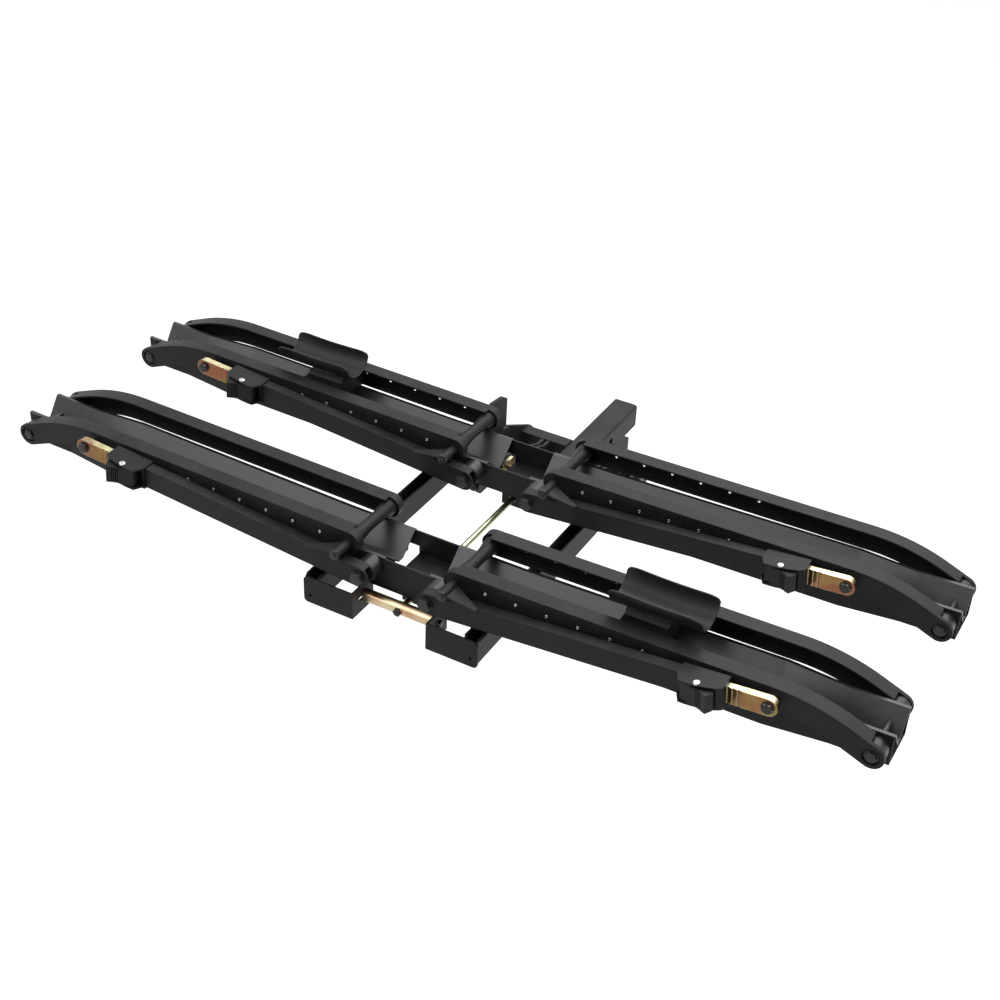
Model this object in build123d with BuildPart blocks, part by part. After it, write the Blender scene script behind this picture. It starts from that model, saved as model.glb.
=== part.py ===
from build123d import *
import math
import os

# Hitch bike rack with two wheel trays, in millimetres.
# X points right, Y points to the vehicle and Z points up.
# The origin is the centre of the hitch pin hole in the square hitch tube.

os.makedirs("parts", exist_ok=True)

# Hitch tube and its pin hole
hitch_size = 50.8
hitch_wall = 4.8
hitch_corner = 6.0
hitch_front = -155.0
hitch_rear = 117.0
pin_hole = 16.6

# Cross tube through the hitch tube, side plates and tongue plates
cross_tube_depth = 26.0
cross_tube_height = 50.0
cross_tube_wall = 3.0
cross_tube_front = -95.0
plate_thickness = 6.0
side_plate_inner_x = 123.0
side_plate_front = -220.0
side_plate_rear = -30.0
side_plate_top = 149.0
side_plate_slant = 6.0
side_plate_shoulder = 17.0
side_plate_neck = 16.0
side_plate_bottom = -25.0
side_plate_foot_top = 19.0
side_plate_foot_slope = 25.0
plate_corner = 5.0
tongue_inner_x = 60.0
tongue_gap = 6.0
tongue_nose_radius = 15.0
tongue_nose_y = -359.0
tongue_neck = 24.0
tongue_slope_y = -265.0
tongue_rear_height = 48.0
tongue_step = 20.0

# Fold pivot at the rear ends of the two beams
fold_y = -175.0
fold_bolt = 16.0
fold_head_thickness = 7.0
fold_boss_radius = 16.0
beam_inner_x = 137.0
beam_width = 25.0
beam_height = 45.0
beam_wall = 3.0
beam_front_y = -760.0

# Wheel trays: a channel on the beams, a V-shaped liner in each half
# Outside the beams a tray rises slightly, and towards its ends it gets narrower with higher walls
pivot_height = 117.0
rear_tray_y = -330.0
tray_pitch = 330.0
channel_half_length = 800.0
channel_width = 98.0
channel_end_width = 76.0
channel_sheet = 3.0
channel_bottom = -31.0
channel_wall_top = 16.0
rise_start = 165.0
end_rise = 12.0
end_wall_growth = 5.0
taper_start = 610.0
taper_end = 710.0
liner_sheet = 2.0
liner_lip = 6.0
liner_stand = 17.0
liner_floor = 12.0
liner_inner_x = 42.0
slot_inner_x = 35.0
slot_outer_x = 58.0
slot_front = -8.0
slot_top = -13.0

# Wheel hoops: two rails of folded sheet that swing on the tray's outer end
pivot_from_end = 21.6
hoop_pivot_z = 10.0
rail_outer = 68.0
rail_sheet = 3.0
rail_height = 40.0
rail_knee_from_pivot = 95.9
rail_bend = 300.0
top_flange = 27.0
bottom_flange = 15.0
rail_hole = 6.0
rail_hole_start = 154.0
rail_hole_pitch = 53.4
rail_hole_count = 6
hoop_dish_radius = 14.0
hoop_dish_depth = 4.0
dish_clear = 4.0
hoop_bolt = 10.0
pivot_spacer_radius = 18.5
pivot_head = 3.0
nut_thickness = 5.0

# Half the width across a hexagon's flats, over the bolt's diameter
hex_factor = 0.8

# Roller between the rails at the hoop's inner end
roller_x = 99.0
roller_z = 38.5
roller_axle = 10.0
axle_head = 4.0
roller_end_radius = 16.5
roller_waist_radius = 10.2
roller_rim = 6.0
roller_half_length = 63.0

# Strut: a tube that swings on the tray and a toothed bar that slides out of it
strut_pivot_x = 63.4
strut_height = 38.0
strut_width = 19.0
strut_wall = 2.5
strut_back = -75.0
strut_bolt = 12.0
strut_washer = 2.0
strut_head = 6.5
strut_nut = 4.0
strut_tube_length = 500.0
bar_bolt_x = 627.0
bar_bolt_z = 47.9
bar_height = 30.0
bar_thickness = 12.0
bar_length = 450.0
bar_bolt = 10.0
bar_spacer_radius = 9.0
tooth_pitch = 8.0
tooth_depth = 2.0
tooth_start = 60.0
tooth_margin = 38.0

# Housing on the strut's outer end, with its trigger
housing_length = 74.0
housing_wall = 3.0
housing_back_wall = 2.0
plate_front = 116.0
plate_near_end = 109.8
plate_at_end = 104.7
plate_shoulder = 9.0
plate_bulge = 0.8
trigger_axis_from_start = 35.6
trigger_axis_y = -110.0
trigger_pin = 6.0
screw_head_radius = 5.1
screw_head = 2.0
trigger_top = 17.5
trigger_bottom = -14.4
trigger_inner = 24.6
trigger_outer = 28.0
trigger_back = 7.0
trigger_side = 2.5
trigger_front = 8.0
trigger_nose = 17.4
trigger_notch = 6.5
pawl_width = 12.0
pawl_thickness = 8.0
pawl_offset = 20.0
pawl_window = 18.0
pawl_clearance = 2.0
rib_count = 4
rib_pitch = 3.0
rib_depth = 1.6

# Finger lever on the front end of the roller's axle
knuckle_radius = 8.0
knuckle_back = -72.0
knuckle_front = -105.0
tongue_reach = 60.0
tongue_thickness = 4.0
tongue_tip_width = 7.0
tongue_drop_angle = 7.3

# Saddle: a curved cradle on a bridge between the rails
saddle_x = 418.0
saddle_length = 172.0
saddle_width = 74.0
saddle_edge_z = 105.0
saddle_depth = 36.0
saddle_sheet = 3.0
saddle_bend = 700.0
bridge_inner_x = 367.0
bridge_outer_x = 440.0
bridge_gap = 1.0
bridge_wall = 4.0
pedestal_half_width = 20.0

# Latch under the trays: pull bar, rod, spring and two hooks
handle_diameter = 22.0
handle_half_length = 68.0
handle_y = -725.0
latch_z = 62.0
latch_travel = 16.0
handle_bolt = 6.0
handle_bolt_head = 4.0
handle_gap = 1.0
rod_diameter = 11.0
rod_nut_bolt = 8.0
guide_sheet = 3.0
guide_width = 40.0
guide_below_rod = 13.0
front_guide_y = -690.0
rear_guide_y = -358.0
spring_wire = 1.8
spring_turns = 9
spring_length = 49.0
spring_radius = 7.5
collar_radius = 9.5
collar_thickness = 6.0
hook_inner_x = 43.0
hook_thickness = 6.0
hook_reach = 16.0
hook_height = 21.0
hook_bevel = 16.0
link_front_y = -330.0
link_thickness = 8.0
link_height = 12.0
striker_y = -285.0
striker_z = 73.0
striker_diameter = 12.0
striker_half_length = 80.0

# Front bracket that carries the pull bar
bracket_sheet = 3.0
bracket_outer_x = 164.0
bracket_bottom = 35.0
bracket_corner = 8.0
bracket_strip = 12.0
bracket_hole = 6.0
bracket_hole_x = 151.0
bracket_hole_z = 50.5
flange_rear_y = -701.0

# Clearances: a pin turning in its hole, moving faces, and a sliding end in a slot
running = 0.05
face_gap = 0.3
slot_gap = 0.3

front_tray_y = rear_tray_y - tray_pitch
tray_centres = {"front": front_tray_y, "rear": rear_tray_y}
beam_top = pivot_height + channel_bottom
fold_z = beam_top - beam_height / 2
wall_outer = channel_width / 2
wall_inner = wall_outer - channel_sheet
end_wall_outer = channel_end_width / 2
hoop_pivot_x = channel_half_length - pivot_from_end
rail_knee_x = hoop_pivot_x - rail_knee_from_pivot
bracket_inner_x = handle_half_length + handle_gap
rail_slope = (bar_bolt_z - roller_z) / (bar_bolt_x - roller_x)
rail_half = rail_height / 2
web_inner = rail_outer - rail_sheet
dish_floor = rail_outer - hoop_dish_depth
dish_back = dish_floor - rail_sheet
strut_slope = math.atan2(bar_bolt_z, bar_bolt_x - strut_pivot_x)
strut_reach = math.hypot(bar_bolt_x - strut_pivot_x, bar_bolt_z)
strut_front = strut_back - strut_width
strut_middle = strut_back - strut_width / 2
bar_front = strut_middle - bar_thickness / 2
bar_back = strut_middle + bar_thickness / 2
housing_end = strut_tube_length + housing_wall
housing_start = housing_end - housing_length
trigger_axis_u = housing_start + trigger_axis_from_start


def facing_front(y):
    """Plane at the given Y: sketches are in X and Z, and a positive extrusion runs to the front."""
    return Plane(origin=(0, y, 0), x_dir=(1, 0, 0), z_dir=(0, -1, 0))


def along_strut(y):
    """Plane at the given Y with its X axis along the strut, from the strut's pivot outwards."""
    along = (math.cos(strut_slope), 0, math.sin(strut_slope))
    return Plane(origin=(strut_pivot_x, y, 0), x_dir=along, z_dir=(0, -1, 0))


def across_strut(height):
    """Plane square to the trigger's pin: X along the strut, Y to the vehicle, at a height above its axis."""
    along = (math.cos(strut_slope), 0, math.sin(strut_slope))
    up = (-math.sin(strut_slope), 0, math.cos(strut_slope))
    origin = (strut_pivot_x + height * up[0], 0, height * up[2])
    return Plane(origin=origin, x_dir=along, z_dir=up)


def write(piece, name):
    """Write one piece as one node."""
    piece.label = name
    export_step(piece, f"parts/{name}.step")


def write_pair(piece, name):
    """Write a right-hand piece and its mirror image."""
    write(piece, f"{name}_right")
    write(mirror(piece, about=Plane.YZ), f"{name}_left")


def in_tray(piece, tray):
    """Move a piece drawn about a tray's centre and pivot height to its tray."""
    return piece.moved(Location((0, tray_centres[tray], pivot_height)))


def write_halves(piece, name):
    """Write a piece drawn for a tray's right half in both halves of both trays."""
    for tray in tray_centres:
        write_pair(in_tray(piece, tray), f"{name}_{tray}")


def rail_height_at(x):
    """Height of the rail's centre line above the pivots, on its straight stretch."""
    return roller_z + rail_slope * (x - roller_x)


def wall_half_at(x):
    """Half of a channel's width at a distance from the rack's middle."""
    share = min(max((abs(x) - taper_start) / (taper_end - taper_start), 0), 1)
    return wall_outer + share * (end_wall_outer - wall_outer)


def end_share(x):
    """How far a place is from the beams towards the tray's end, from 0 to 1."""
    return max(abs(x) - rise_start, 0) / (channel_half_length - rise_start)


def floor_at(x):
    """Height of a channel's underside at a distance from the rack's middle."""
    return channel_bottom + end_share(x) * end_rise


def wall_top_at(x):
    """Height of a channel's walls at a distance from the rack's middle."""
    return channel_wall_top + end_share(x) * (end_rise + end_wall_growth)


# Hitch tube, with the pin hole through both walls
with BuildPart() as hitch_tube:
    with BuildSketch(Plane.XZ.offset(-hitch_front)):
        RectangleRounded(hitch_size, hitch_size, hitch_corner)
        RectangleRounded(
            hitch_size - 2 * hitch_wall,
            hitch_size - 2 * hitch_wall,
            hitch_corner - hitch_wall,
            mode=Mode.SUBTRACT,
        )
    extrude(amount=-(hitch_rear - hitch_front))
    with BuildSketch(Plane.YZ.offset(-hitch_size)):
        Circle(pin_hole / 2)
    extrude(amount=2 * hitch_size, mode=Mode.SUBTRACT)
write(hitch_tube.part, "hitch_tube")

# Cross tubes that reach from the hitch tube to the side plates
cross_tube_y = cross_tube_front + cross_tube_depth / 2
cross_tube_z = hitch_size / 2 - cross_tube_height / 2
cross_tube_rear = cross_tube_front + cross_tube_depth
with BuildPart() as cross_tubes:
    with BuildSketch(Plane.YZ.offset(hitch_size / 2)):
        with Locations((cross_tube_y, cross_tube_z)):
            Rectangle(cross_tube_depth, cross_tube_height)
            Rectangle(
                cross_tube_depth - 2 * cross_tube_wall,
                cross_tube_height - 2 * cross_tube_wall,
                mode=Mode.SUBTRACT,
            )
    extrude(amount=side_plate_inner_x - hitch_size / 2)
    mirror(about=Plane.YZ)
write(cross_tubes.part, "cross_tubes")

# Side plates, upright behind the rear tray
neck_y = fold_y + side_plate_neck
with BuildPart() as side_plate:
    with BuildSketch(Plane.YZ.offset(side_plate_inner_x)):
        with BuildLine():
            Polyline(
                (side_plate_front, side_plate_top),
                (neck_y - side_plate_shoulder, side_plate_top - side_plate_slant),
                (neck_y, side_plate_top - side_plate_shoulder),
                (neck_y, fold_z + side_plate_neck / 2),
                (neck_y + side_plate_neck, fold_z),
                (side_plate_rear - side_plate_foot_slope, side_plate_foot_top),
                (side_plate_rear, side_plate_foot_top - side_plate_foot_slope),
                (side_plate_rear, side_plate_bottom),
                (hitch_front, side_plate_bottom),
                (side_plate_front, fold_z - side_plate_foot_slope),
                close=True,
            )
        make_face()
        with Locations((fold_y, fold_z)):
            Circle(fold_bolt / 2, mode=Mode.SUBTRACT)
    extrude(amount=plate_thickness)
    cross_edges = side_plate.edges().filter_by(Axis.X)
    fillet(cross_edges.filter_by(GeomType.LINE), plate_corner)
write_pair(side_plate.part, "side_plate")

# Tongue plates: two pairs under the rear tray, round noses in front
tongue_nose_z = beam_top - tongue_nose_radius
tongue_rear_top = cross_tube_z + tongue_rear_height / 2
tongue_rear_bottom = cross_tube_z - tongue_rear_height / 2
with BuildPart() as tongue_plates:
    with BuildSketch(Plane.YZ.offset(tongue_inner_x)):
        with BuildLine():
            nose = CenterArc((tongue_nose_y, tongue_nose_z), tongue_nose_radius, 90, 160)
            Polyline(
                nose @ 1,
                (tongue_nose_y + tongue_neck, tongue_nose_z - tongue_nose_radius),
                (hitch_front, tongue_rear_bottom),
                (cross_tube_front, tongue_rear_bottom),
                (cross_tube_front, tongue_rear_top),
                (cross_tube_front - tongue_step, tongue_rear_top),
                (tongue_slope_y, beam_top),
                nose @ 0,
            )
        make_face()
        with Locations((striker_y, striker_z)):
            Circle(striker_diameter / 2, mode=Mode.SUBTRACT)
    tongue_sketch = extrude(amount=plate_thickness)
    add(tongue_sketch.moved(Location((plate_thickness + tongue_gap, 0, 0))))
    mirror(about=Plane.YZ)
write(tongue_plates.part, "tongue_plates")

# Striker pin that the latch hooks reach over
with BuildPart() as striker_pin:
    with BuildSketch(Plane.YZ.offset(-striker_half_length)):
        with Locations((striker_y, striker_z)):
            Circle(striker_diameter / 2)
    extrude(amount=2 * striker_half_length)
    chamfer(striker_pin.edges().filter_by(GeomType.CIRCLE), 1)
write(striker_pin.part, "striker_pin")

# Fold bolts with their bosses, heads and nuts
fold_head_x = beam_inner_x + beam_width + face_gap
with BuildPart() as fold_bolts:
    with BuildSketch(Plane.YZ.offset(side_plate_inner_x - fold_head_thickness)):
        with Locations((fold_y, fold_z)):
            Circle(fold_bolt / 2)
    extrude(amount=fold_head_x + fold_head_thickness - side_plate_inner_x + fold_head_thickness)
    with BuildSketch(Plane.YZ.offset(side_plate_inner_x + plate_thickness)):
        with Locations((fold_y, fold_z)):
            Circle(fold_boss_radius)
    extrude(amount=beam_inner_x - face_gap - side_plate_inner_x - plate_thickness)
    for head_x in (side_plate_inner_x - fold_head_thickness, fold_head_x):
        with BuildSketch(Plane.YZ.offset(head_x)):
            with Locations((fold_y, fold_z)):
                RegularPolygon(fold_bolt * hex_factor, 6, major_radius=False)
        extrude(amount=fold_head_thickness)
    mirror(about=Plane.YZ)
write(fold_bolts.part, "fold_bolts")

# Beams: open-top channels, rounded about the fold pivot at the rear
with BuildPart() as beam:
    with BuildSketch(Plane.YZ.offset(beam_inner_x)):
        with BuildLine():
            front_edge = Line((fold_y, beam_top), (beam_front_y, beam_top))
            lower_front = Line(front_edge @ 1, (beam_front_y, beam_top - beam_height))
            lower_edge = Line(lower_front @ 1, (fold_y, beam_top - beam_height))
            CenterArc((fold_y, fold_z), beam_height / 2, -90, 180)
        make_face()
    extrude(amount=beam_width)
    with BuildSketch(Plane.YZ.offset(beam_inner_x + beam_wall)):
        with Locations((beam_front_y, beam_top)):
            Rectangle(
                fold_y + beam_height - beam_front_y,
                beam_height - beam_wall,
                align=(Align.MIN, Align.MAX),
            )
    extrude(amount=beam_width - 2 * beam_wall, mode=Mode.SUBTRACT)
    with BuildSketch(Plane.YZ.offset(beam_inner_x)):
        with Locations((fold_y, fold_z)):
            Circle(fold_bolt / 2 + running)
    extrude(amount=beam_width, mode=Mode.SUBTRACT)
write_pair(beam.part, "beam")

# Front bracket: corner plates, slotted flanges for the pull bar, and the strip between the beams
bracket_front_y = beam_front_y
channel_front_y = front_tray_y - wall_outer
with BuildPart() as front_bracket:
    with BuildSketch(facing_front(bracket_front_y)):
        with Locations((bracket_inner_x, bracket_bottom)):
            Rectangle(
                bracket_outer_x - bracket_inner_x,
                beam_top - bracket_bottom,
                align=(Align.MIN, Align.MIN),
            )
        with Locations((bracket_hole_x, bracket_hole_z)):
            Circle(bracket_hole / 2, mode=Mode.SUBTRACT)
    extrude(amount=bracket_sheet)
    corners = front_bracket.edges().filter_by(Axis.Y).group_by(Axis.X)[-1]
    fillet(corners, bracket_corner)
    with BuildSketch(Plane.YZ.offset(bracket_inner_x)):
        with Locations((bracket_front_y - bracket_sheet, bracket_bottom)):
            Rectangle(
                flange_rear_y - bracket_front_y + bracket_sheet,
                beam_top - bracket_bottom,
                align=(Align.MIN, Align.MIN),
            )
        with Locations((handle_y - latch_travel / 2, latch_z)):
            SlotOverall(
                latch_travel + handle_bolt + 2 * slot_gap,
                handle_bolt + 2 * slot_gap,
                mode=Mode.SUBTRACT,
            )
    extrude(amount=bracket_sheet)
    with BuildSketch(facing_front(channel_front_y + bracket_sheet)):
        with Locations((0, beam_top)):
            Rectangle(beam_inner_x, bracket_strip, align=(Align.MIN, Align.MAX))
    extrude(amount=bracket_sheet)
    mirror(about=Plane.YZ)
write(front_bracket.part, "front_bracket")

def channel_shell(stations):
    """An open channel between places along a tray, given by their distance from the rack's middle."""
    with BuildPart() as shell:
        for station in stations:
            with BuildSketch(Plane.YZ.offset(station)):
                with Locations((0, floor_at(station))):
                    Rectangle(
                        2 * wall_half_at(station),
                        wall_top_at(station) - floor_at(station),
                        align=(Align.CENTER, Align.MIN),
                    )
        loft(ruled=True)
        for station in stations:
            with BuildSketch(Plane.YZ.offset(station)):
                with Locations((0, floor_at(station) + channel_sheet)):
                    Rectangle(
                        2 * (wall_half_at(station) - channel_sheet),
                        wall_top_at(station) - floor_at(station),
                        align=(Align.CENTER, Align.MIN),
                    )
        loft(ruled=True, mode=Mode.SUBTRACT)
    return shell.part


# Base channels: a straight centre with the slots that the hooks come up through, and an arm
# welded to each of its ends
for tray in tray_centres:
    with BuildPart() as centre_channel:
        add(channel_shell((-rise_start, rise_start)))
        with BuildSketch(Plane.XY.offset(channel_bottom)):
            with Locations((slot_inner_x, slot_front), (-slot_outer_x, slot_front)):
                Rectangle(
                    slot_outer_x - slot_inner_x,
                    channel_width,
                    align=(Align.MIN, Align.MIN),
                )
        extrude(amount=slot_top - channel_bottom, mode=Mode.SUBTRACT)
        with BuildSketch(facing_front(0)):
            with Locations((strut_pivot_x, 0), (-strut_pivot_x, 0)):
                Circle(strut_bolt / 2)
        extrude(amount=channel_width, mode=Mode.SUBTRACT)
    with BuildPart() as channel_arms:
        add(channel_shell((rise_start, taper_start, taper_end, channel_half_length)))
        with BuildSketch(facing_front(channel_width)):
            with Locations((hoop_pivot_x, hoop_pivot_z)):
                Circle(hoop_bolt / 2)
        extrude(amount=2 * channel_width, mode=Mode.SUBTRACT)
        mirror(about=Plane.YZ)
    base_channel = Compound(children=[centre_channel.part, channel_arms.part])
    write(in_tray(base_channel, tray), f"base_channel_{tray}")

# Liners: the folded troughs that the tyres stand in, with lips over the channel's walls
with BuildPart() as liner:
    for station in (liner_inner_x, rise_start, taper_start, taper_end, channel_half_length):
        wall = wall_half_at(station)
        top = wall_top_at(station) + liner_sheet
        bottom = floor_at(station) + liner_stand
        chord = wall - liner_lip
        side_run = (chord - liner_floor / 2) / (top - bottom)
        skin = liner_sheet * math.sqrt(1 + side_run**2) - liner_sheet * side_run
        profile = [
            (liner_floor / 2, bottom),
            (chord, top),
            (wall, top),
            (wall, top - liner_sheet),
            (chord + skin, top - liner_sheet),
            (liner_floor / 2 + skin, bottom - liner_sheet),
        ]
        with BuildSketch(Plane.YZ.offset(station)):
            with BuildLine():
                Polyline(*profile, *[(-y, z) for y, z in reversed(profile)], close=True)
            make_face()
    loft(ruled=True)
    with BuildSketch(facing_front(channel_width)):
        with Locations((hoop_pivot_x, hoop_pivot_z)):
            Circle(hoop_bolt / 2)
    extrude(amount=2 * channel_width, mode=Mode.SUBTRACT)
write_halves(liner.part, "liner")

# Outer pivots: axle with head and nut, and a spacer on each side of the channel
for tray in tray_centres:
    with BuildPart() as hoop_pivots:
        with BuildSketch(facing_front(dish_floor)):
            with Locations((hoop_pivot_x, hoop_pivot_z)):
                Circle(hoop_bolt / 2)
        extrude(amount=2 * dish_floor)
        for side in (-1, 1):
            with BuildSketch(facing_front(side * end_wall_outer)):
                with Locations((hoop_pivot_x, hoop_pivot_z)):
                    Circle(pivot_spacer_radius)
            extrude(amount=-side * (dish_back - face_gap - end_wall_outer))
            with BuildSketch(facing_front(side * (dish_floor + face_gap))):
                with Locations((hoop_pivot_x, hoop_pivot_z)):
                    RegularPolygon(hoop_bolt * hex_factor, 6, major_radius=False)
            extrude(amount=-side * pivot_head)
            with BuildSketch(facing_front(side * dish_floor)):
                with Locations((hoop_pivot_x, hoop_pivot_z)):
                    Circle(hoop_bolt / 2)
            extrude(amount=-side * face_gap)
        mirror(about=Plane.YZ)
    write(in_tray(hoop_pivots.part, tray), f"hoop_pivots_{tray}")

# Inner pivots of the struts: boss on the channel's front wall, bolt, washer and nut
washer_back = strut_front - face_gap
washer_front = washer_back - strut_washer
with BuildPart() as strut_pivot:
    with BuildSketch(facing_front(-wall_outer)):
        with Locations((strut_pivot_x, 0)):
            Circle(strut_height / 2)
    extrude(amount=-wall_outer - strut_back - face_gap)
    with BuildSketch(facing_front(-wall_inner)):
        with Locations((strut_pivot_x, 0)):
            Circle(strut_bolt / 2)
    extrude(amount=-wall_inner - washer_front)
    with BuildSketch(facing_front(washer_back)):
        with Locations((strut_pivot_x, 0)):
            Circle(strut_bolt)
    extrude(amount=strut_washer)
    for hexagon_y, reach in ((washer_front, strut_head), (-wall_inner, -strut_nut)):
        with BuildSketch(facing_front(hexagon_y)):
            with Locations((strut_pivot_x, 0)):
                RegularPolygon(strut_bolt * hex_factor, 6, major_radius=False)
        extrude(amount=reach)
for tray in tray_centres:
    with BuildPart() as strut_pivots:
        add(strut_pivot.part)
        mirror(about=Plane.YZ)
    write(in_tray(strut_pivots.part, tray), f"strut_pivots_{tray}")


# Centre line of a hoop's rail, from the roller's axle to the outer pivot
with BuildLine() as rail_line:
    FilletPolyline(
        (roller_x, roller_z),
        (rail_knee_x, rail_height_at(rail_knee_x)),
        (hoop_pivot_x, hoop_pivot_z),
        radius=rail_bend,
    )

# Side view of a rail: its outline, the space inside its flanges, and all that lies above its centre line
with BuildSketch() as rail_outline:
    make_face(rail_line.wire().offset_2d(rail_half, kind=Kind.ARC, side=Side.BOTH).edges())
with BuildSketch() as rail_inside:
    make_face(rail_line.wire().offset_2d(rail_half - rail_sheet, kind=Kind.ARC, side=Side.BOTH).edges())
with BuildSketch() as rail_upper:
    with BuildLine():
        add(rail_line.line)
        Polyline(
            (hoop_pivot_x, hoop_pivot_z), (hoop_pivot_x, 4 * rail_height),
            (roller_x, 4 * rail_height), (roller_x, roller_z),
        )
    make_face()

# Hoop: two rails, each a web with a wide top flange and a narrow bottom flange
with BuildPart() as rail:
    with BuildSketch(facing_front(-(rail_outer - bottom_flange))):
        add(rail_outline.sketch)
    extrude(amount=bottom_flange)
    with BuildSketch(facing_front(-(rail_outer - bottom_flange))):
        add(rail_inside.sketch)
    extrude(amount=bottom_flange - rail_sheet, mode=Mode.SUBTRACT)
    with BuildSketch(facing_front(-(rail_outer - top_flange))):
        add(rail_outline.sketch)
        add(rail_inside.sketch, mode=Mode.SUBTRACT)
        add(rail_upper.sketch, mode=Mode.INTERSECT)
    extrude(amount=top_flange - bottom_flange)
    with BuildSketch(facing_front(-(rail_outer - top_flange))):
        with Locations((hoop_pivot_x, hoop_pivot_z)):
            Circle(rail_half + dish_clear)
    extrude(amount=dish_back - rail_outer + top_flange, mode=Mode.SUBTRACT)
    with BuildSketch(facing_front(-dish_back)):
        with Locations((hoop_pivot_x, hoop_pivot_z)):
            Circle(rail_half)
    extrude(amount=rail_outer - dish_back)
    with BuildSketch(facing_front(-dish_floor)):
        with Locations((hoop_pivot_x, hoop_pivot_z)):
            Circle(hoop_dish_radius)
    extrude(amount=hoop_dish_depth, mode=Mode.SUBTRACT)
    with BuildSketch(facing_front(0)):
        with Locations((hoop_pivot_x, hoop_pivot_z)):
            Circle(hoop_bolt / 2 + running)
        with Locations((roller_x, roller_z)):
            Circle(roller_axle / 2)
        for index in range(rail_hole_count):
            hole_x = rail_hole_start + index * rail_hole_pitch
            with Locations((hole_x, rail_height_at(hole_x))):
                Circle(rail_hole / 2)
    extrude(amount=rail_outer, mode=Mode.SUBTRACT)
with BuildPart() as hoop:
    add(rail.part)
    mirror(about=Plane.XZ)
    with BuildSketch(facing_front(-web_inner + nut_thickness)):
        with Locations((bar_bolt_x, bar_bolt_z)):
            RegularPolygon(bar_bolt * hex_factor, 6, major_radius=False)
    extrude(amount=nut_thickness)
write_halves(hoop.part, "hoop")

# Roller axle: it runs on through the front rail to carry the finger lever
with BuildPart() as axle:
    with BuildSketch(facing_front(rail_outer)):
        with Locations((roller_x, roller_z)):
            Circle(roller_axle / 2)
    extrude(amount=rail_outer - knuckle_front + face_gap)
    with BuildSketch(facing_front(-rail_outer)):
        with Locations((roller_x, roller_z)):
            Circle(knuckle_radius)
    extrude(amount=-knuckle_back - rail_outer - face_gap)
    for head_y in (knuckle_front - face_gap, rail_outer + axle_head):
        with BuildSketch(facing_front(head_y)):
            with Locations((roller_x, roller_z)):
                RegularPolygon(roller_axle * hex_factor, 6, major_radius=False)
        extrude(amount=axle_head)
write_halves(axle.part, "roller_axle")

# Roller, narrow in the middle so that the tyre centres itself
with BuildPart() as roller:
    with BuildSketch(Plane.YZ.offset(roller_x)):
        with BuildLine():
            bore_edge = Line(
                (-roller_half_length, roller_z + roller_axle / 2 + running),
                (roller_half_length, roller_z + roller_axle / 2 + running),
            )
            rear_face = Line(bore_edge @ 1, (roller_half_length, roller_z + roller_end_radius))
            rear_rim = Line(rear_face @ 1, (roller_half_length - roller_rim, roller_z + roller_end_radius))
            ThreePointArc(
                rear_rim @ 1,
                (0, roller_z + roller_waist_radius),
                (-roller_half_length + roller_rim, roller_z + roller_end_radius),
            )
            Polyline(
                (-roller_half_length + roller_rim, roller_z + roller_end_radius),
                (-roller_half_length, roller_z + roller_end_radius),
                bore_edge @ 0,
            )
        make_face()
    revolve(axis=Axis((roller_x, 0, roller_z), (0, 1, 0)))
write_halves(roller.part, "roller")

# Strut tube with its rounded inner end, pivot holes and pawl window
pawl_u = trigger_axis_u - pawl_offset
with BuildPart() as strut:
    with BuildSketch(along_strut(strut_back)):
        Circle(strut_height / 2)
        Rectangle(strut_tube_length, strut_height, align=(Align.MIN, Align.CENTER))
    extrude(amount=strut_width)
    with BuildSketch(along_strut(strut_back - strut_wall)):
        with Locations((-strut_height, 0)):
            Rectangle(
                strut_tube_length + 2 * strut_height,
                strut_height - 2 * strut_wall,
                align=(Align.MIN, Align.CENTER),
            )
    extrude(amount=strut_width - 2 * strut_wall, mode=Mode.SUBTRACT)
    with BuildSketch(along_strut(strut_back)):
        Circle(strut_bolt / 2 + running)
    extrude(amount=strut_width, mode=Mode.SUBTRACT)
    with BuildSketch(along_strut(strut_middle)):
        with Locations((pawl_u, 0)):
            Rectangle(pawl_window, pawl_width + 2 * pawl_clearance)
    extrude(amount=strut_width, mode=Mode.SUBTRACT)
    with BuildSketch(across_strut(0)):
        with Locations((strut_height, strut_middle)):
            Circle(rail_hole / 2)
    extrude(amount=strut_height, mode=Mode.SUBTRACT)
write_halves(strut.part, "strut")

# Ratchet bar with saw teeth on its front face, and the bolt at its outer end
bar_inner_u = strut_reach - bar_length
first_tooth = bar_inner_u + tooth_start
tooth_count = int((bar_length - tooth_start - tooth_margin) / tooth_pitch)
with BuildPart() as ratchet_bar:
    with BuildSketch(across_strut(-bar_height / 2)):
        with BuildLine():
            edge = [(bar_inner_u, bar_back), (bar_inner_u, bar_front), (first_tooth, bar_front)]
            for index in range(tooth_count):
                root_u = first_tooth + index * tooth_pitch
                edge.append((root_u, bar_front + tooth_depth))
                edge.append((root_u + tooth_pitch, bar_front))
            edge.append((strut_reach, bar_front))
            edge.append((strut_reach, bar_back))
            Polyline(edge, close=True)
        make_face()
    extrude(amount=bar_height)
    with BuildSketch(along_strut(bar_back)):
        with Locations((strut_reach, 0)):
            Circle(bar_height / 2)
    extrude(amount=bar_thickness)
    with BuildSketch(along_strut(bar_back)):
        with Locations((strut_reach, 0)):
            Circle(bar_bolt / 2)
    extrude(amount=bar_thickness, mode=Mode.SUBTRACT)
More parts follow.
